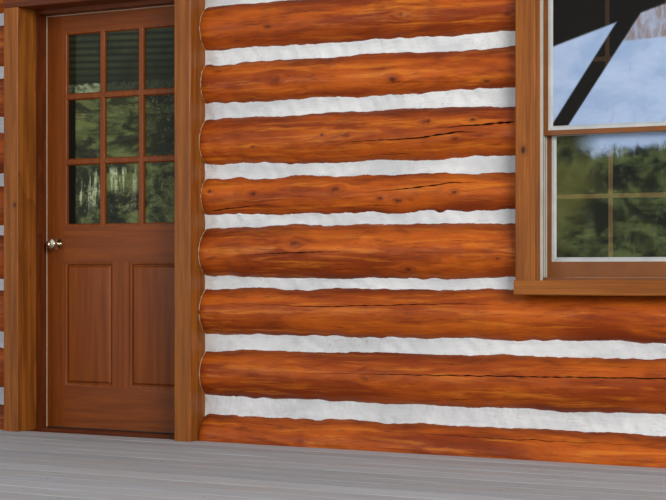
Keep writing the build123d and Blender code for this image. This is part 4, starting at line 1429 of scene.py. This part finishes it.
def shown_plainly(tree, share, lit, kind, output):
    """Mixes a lit shader with the plain background by a share, for the output of a graph."""
    plain = node(tree, kind, {"Color": BACKGROUND, "Strength": 1.0})
    both = node(tree, "MixShader", {0: share, 1: Signal(lit.outputs[0]), 2: Signal(plain.outputs[0])})
    tree.links.new(both.outputs[0], tree.nodes[output].inputs["Surface"])


floor_material, spot = new_material("Studio floor", roughness=0.9, specular_ior_level=0.1)
floor_shader = spot.tree.nodes["Principled BSDF"]
floor_shader.inputs["Base Color"].default_value = paint((214, 213, 210))
far = spot.made("LightPath", {}, "Is Camera Ray") * spot.length().ease(3.2, 8.5, 1.0, 0.35)
shown_plainly(spot.tree, far, floor_shader, "Emission", "Material Output")
floor_mesh = bpy.data.meshes.new("studio_floor")
floor_mesh.from_pydata([(-FLOOR_REACH, -FLOOR_REACH, 0), (FLOOR_REACH, -FLOOR_REACH, 0),
                        (FLOOR_REACH, FLOOR_REACH, 0), (-FLOOR_REACH, FLOOR_REACH, 0)], [], [(0, 1, 2, 3)])
floor_mesh.materials.append(floor_material)
floor = bpy.data.objects.new("studio_floor", floor_mesh)
floor.location.z = -0.5 * MM
bpy.context.scene.collection.objects.link(floor)
floor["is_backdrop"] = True

# %% Lamps and world


def soft_lamp(name, place, target_height, size, power, colour):
    """A square lamp at a place, turned towards a height over the origin."""
    light = bpy.data.lights.new(name, "AREA")
    light.shape, light.size = "SQUARE", size
    light.energy, light.color = power, colour
    lamp = bpy.data.objects.new(name, light)
    lamp.location = place
    lamp.rotation_euler = (Vector((0, 0, target_height)) - Vector(place)).to_track_quat("-Z", "Y").to_euler()
    bpy.context.scene.collection.objects.link(lamp)


soft_lamp("key_lamp", (6.6, -6.2, 3.8), 1.1, 3.0, 640, (1.0, 0.96, 0.9))
soft_lamp("fill_lamp", (-4.2, -7.5, 1.8), 1.1, 2.2, 90, (0.94, 0.97, 1.0))
soft_lamp("back_lamp", (-2.5, 8.5, 4.2), 1.3, 3.5, 620, (1.0, 0.98, 0.95))

world = bpy.data.worlds.new("Pale studio")
bpy.context.scene.world = world
world.use_nodes = True
sky_light = world.node_tree.nodes["Background"]
sky_light.inputs["Color"].default_value = (0.95, 0.97, 1.0, 1)
sky_light.inputs["Strength"].default_value = 0.42
rays = node(world.node_tree, "LightPath").outputs
seen = Signal(rays["Is Camera Ray"]).at_least(Signal(rays["Is Glossy Ray"]))
seen = seen.at_least(Signal(rays["Is Transmission Ray"]))
shown_plainly(world.node_tree, seen, sky_light, "Background", "World Output")

# %% Camera
camera_data = bpy.data.cameras.new("porch_camera")
camera_data.sensor_width = 36.0
camera_data.lens = 96.6
camera_data.shift_y = 0.029
camera = bpy.data.objects.new("porch_camera", camera_data)
camera.location = (3.906, -6.914, 1.060)
camera.rotation_euler = (math.pi / 2, 0, math.radians(30.157))
bpy.context.scene.collection.objects.link(camera)
bpy.context.scene.camera = camera
bpy.context.scene.view_settings.view_transform = "Standard"

# %% Sizes and finish
total = sum(added_triangles.values())
print("triangles added:", total, "largest piece:", max(added_triangles.items(), key=lambda item: item[1]))
low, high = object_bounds()
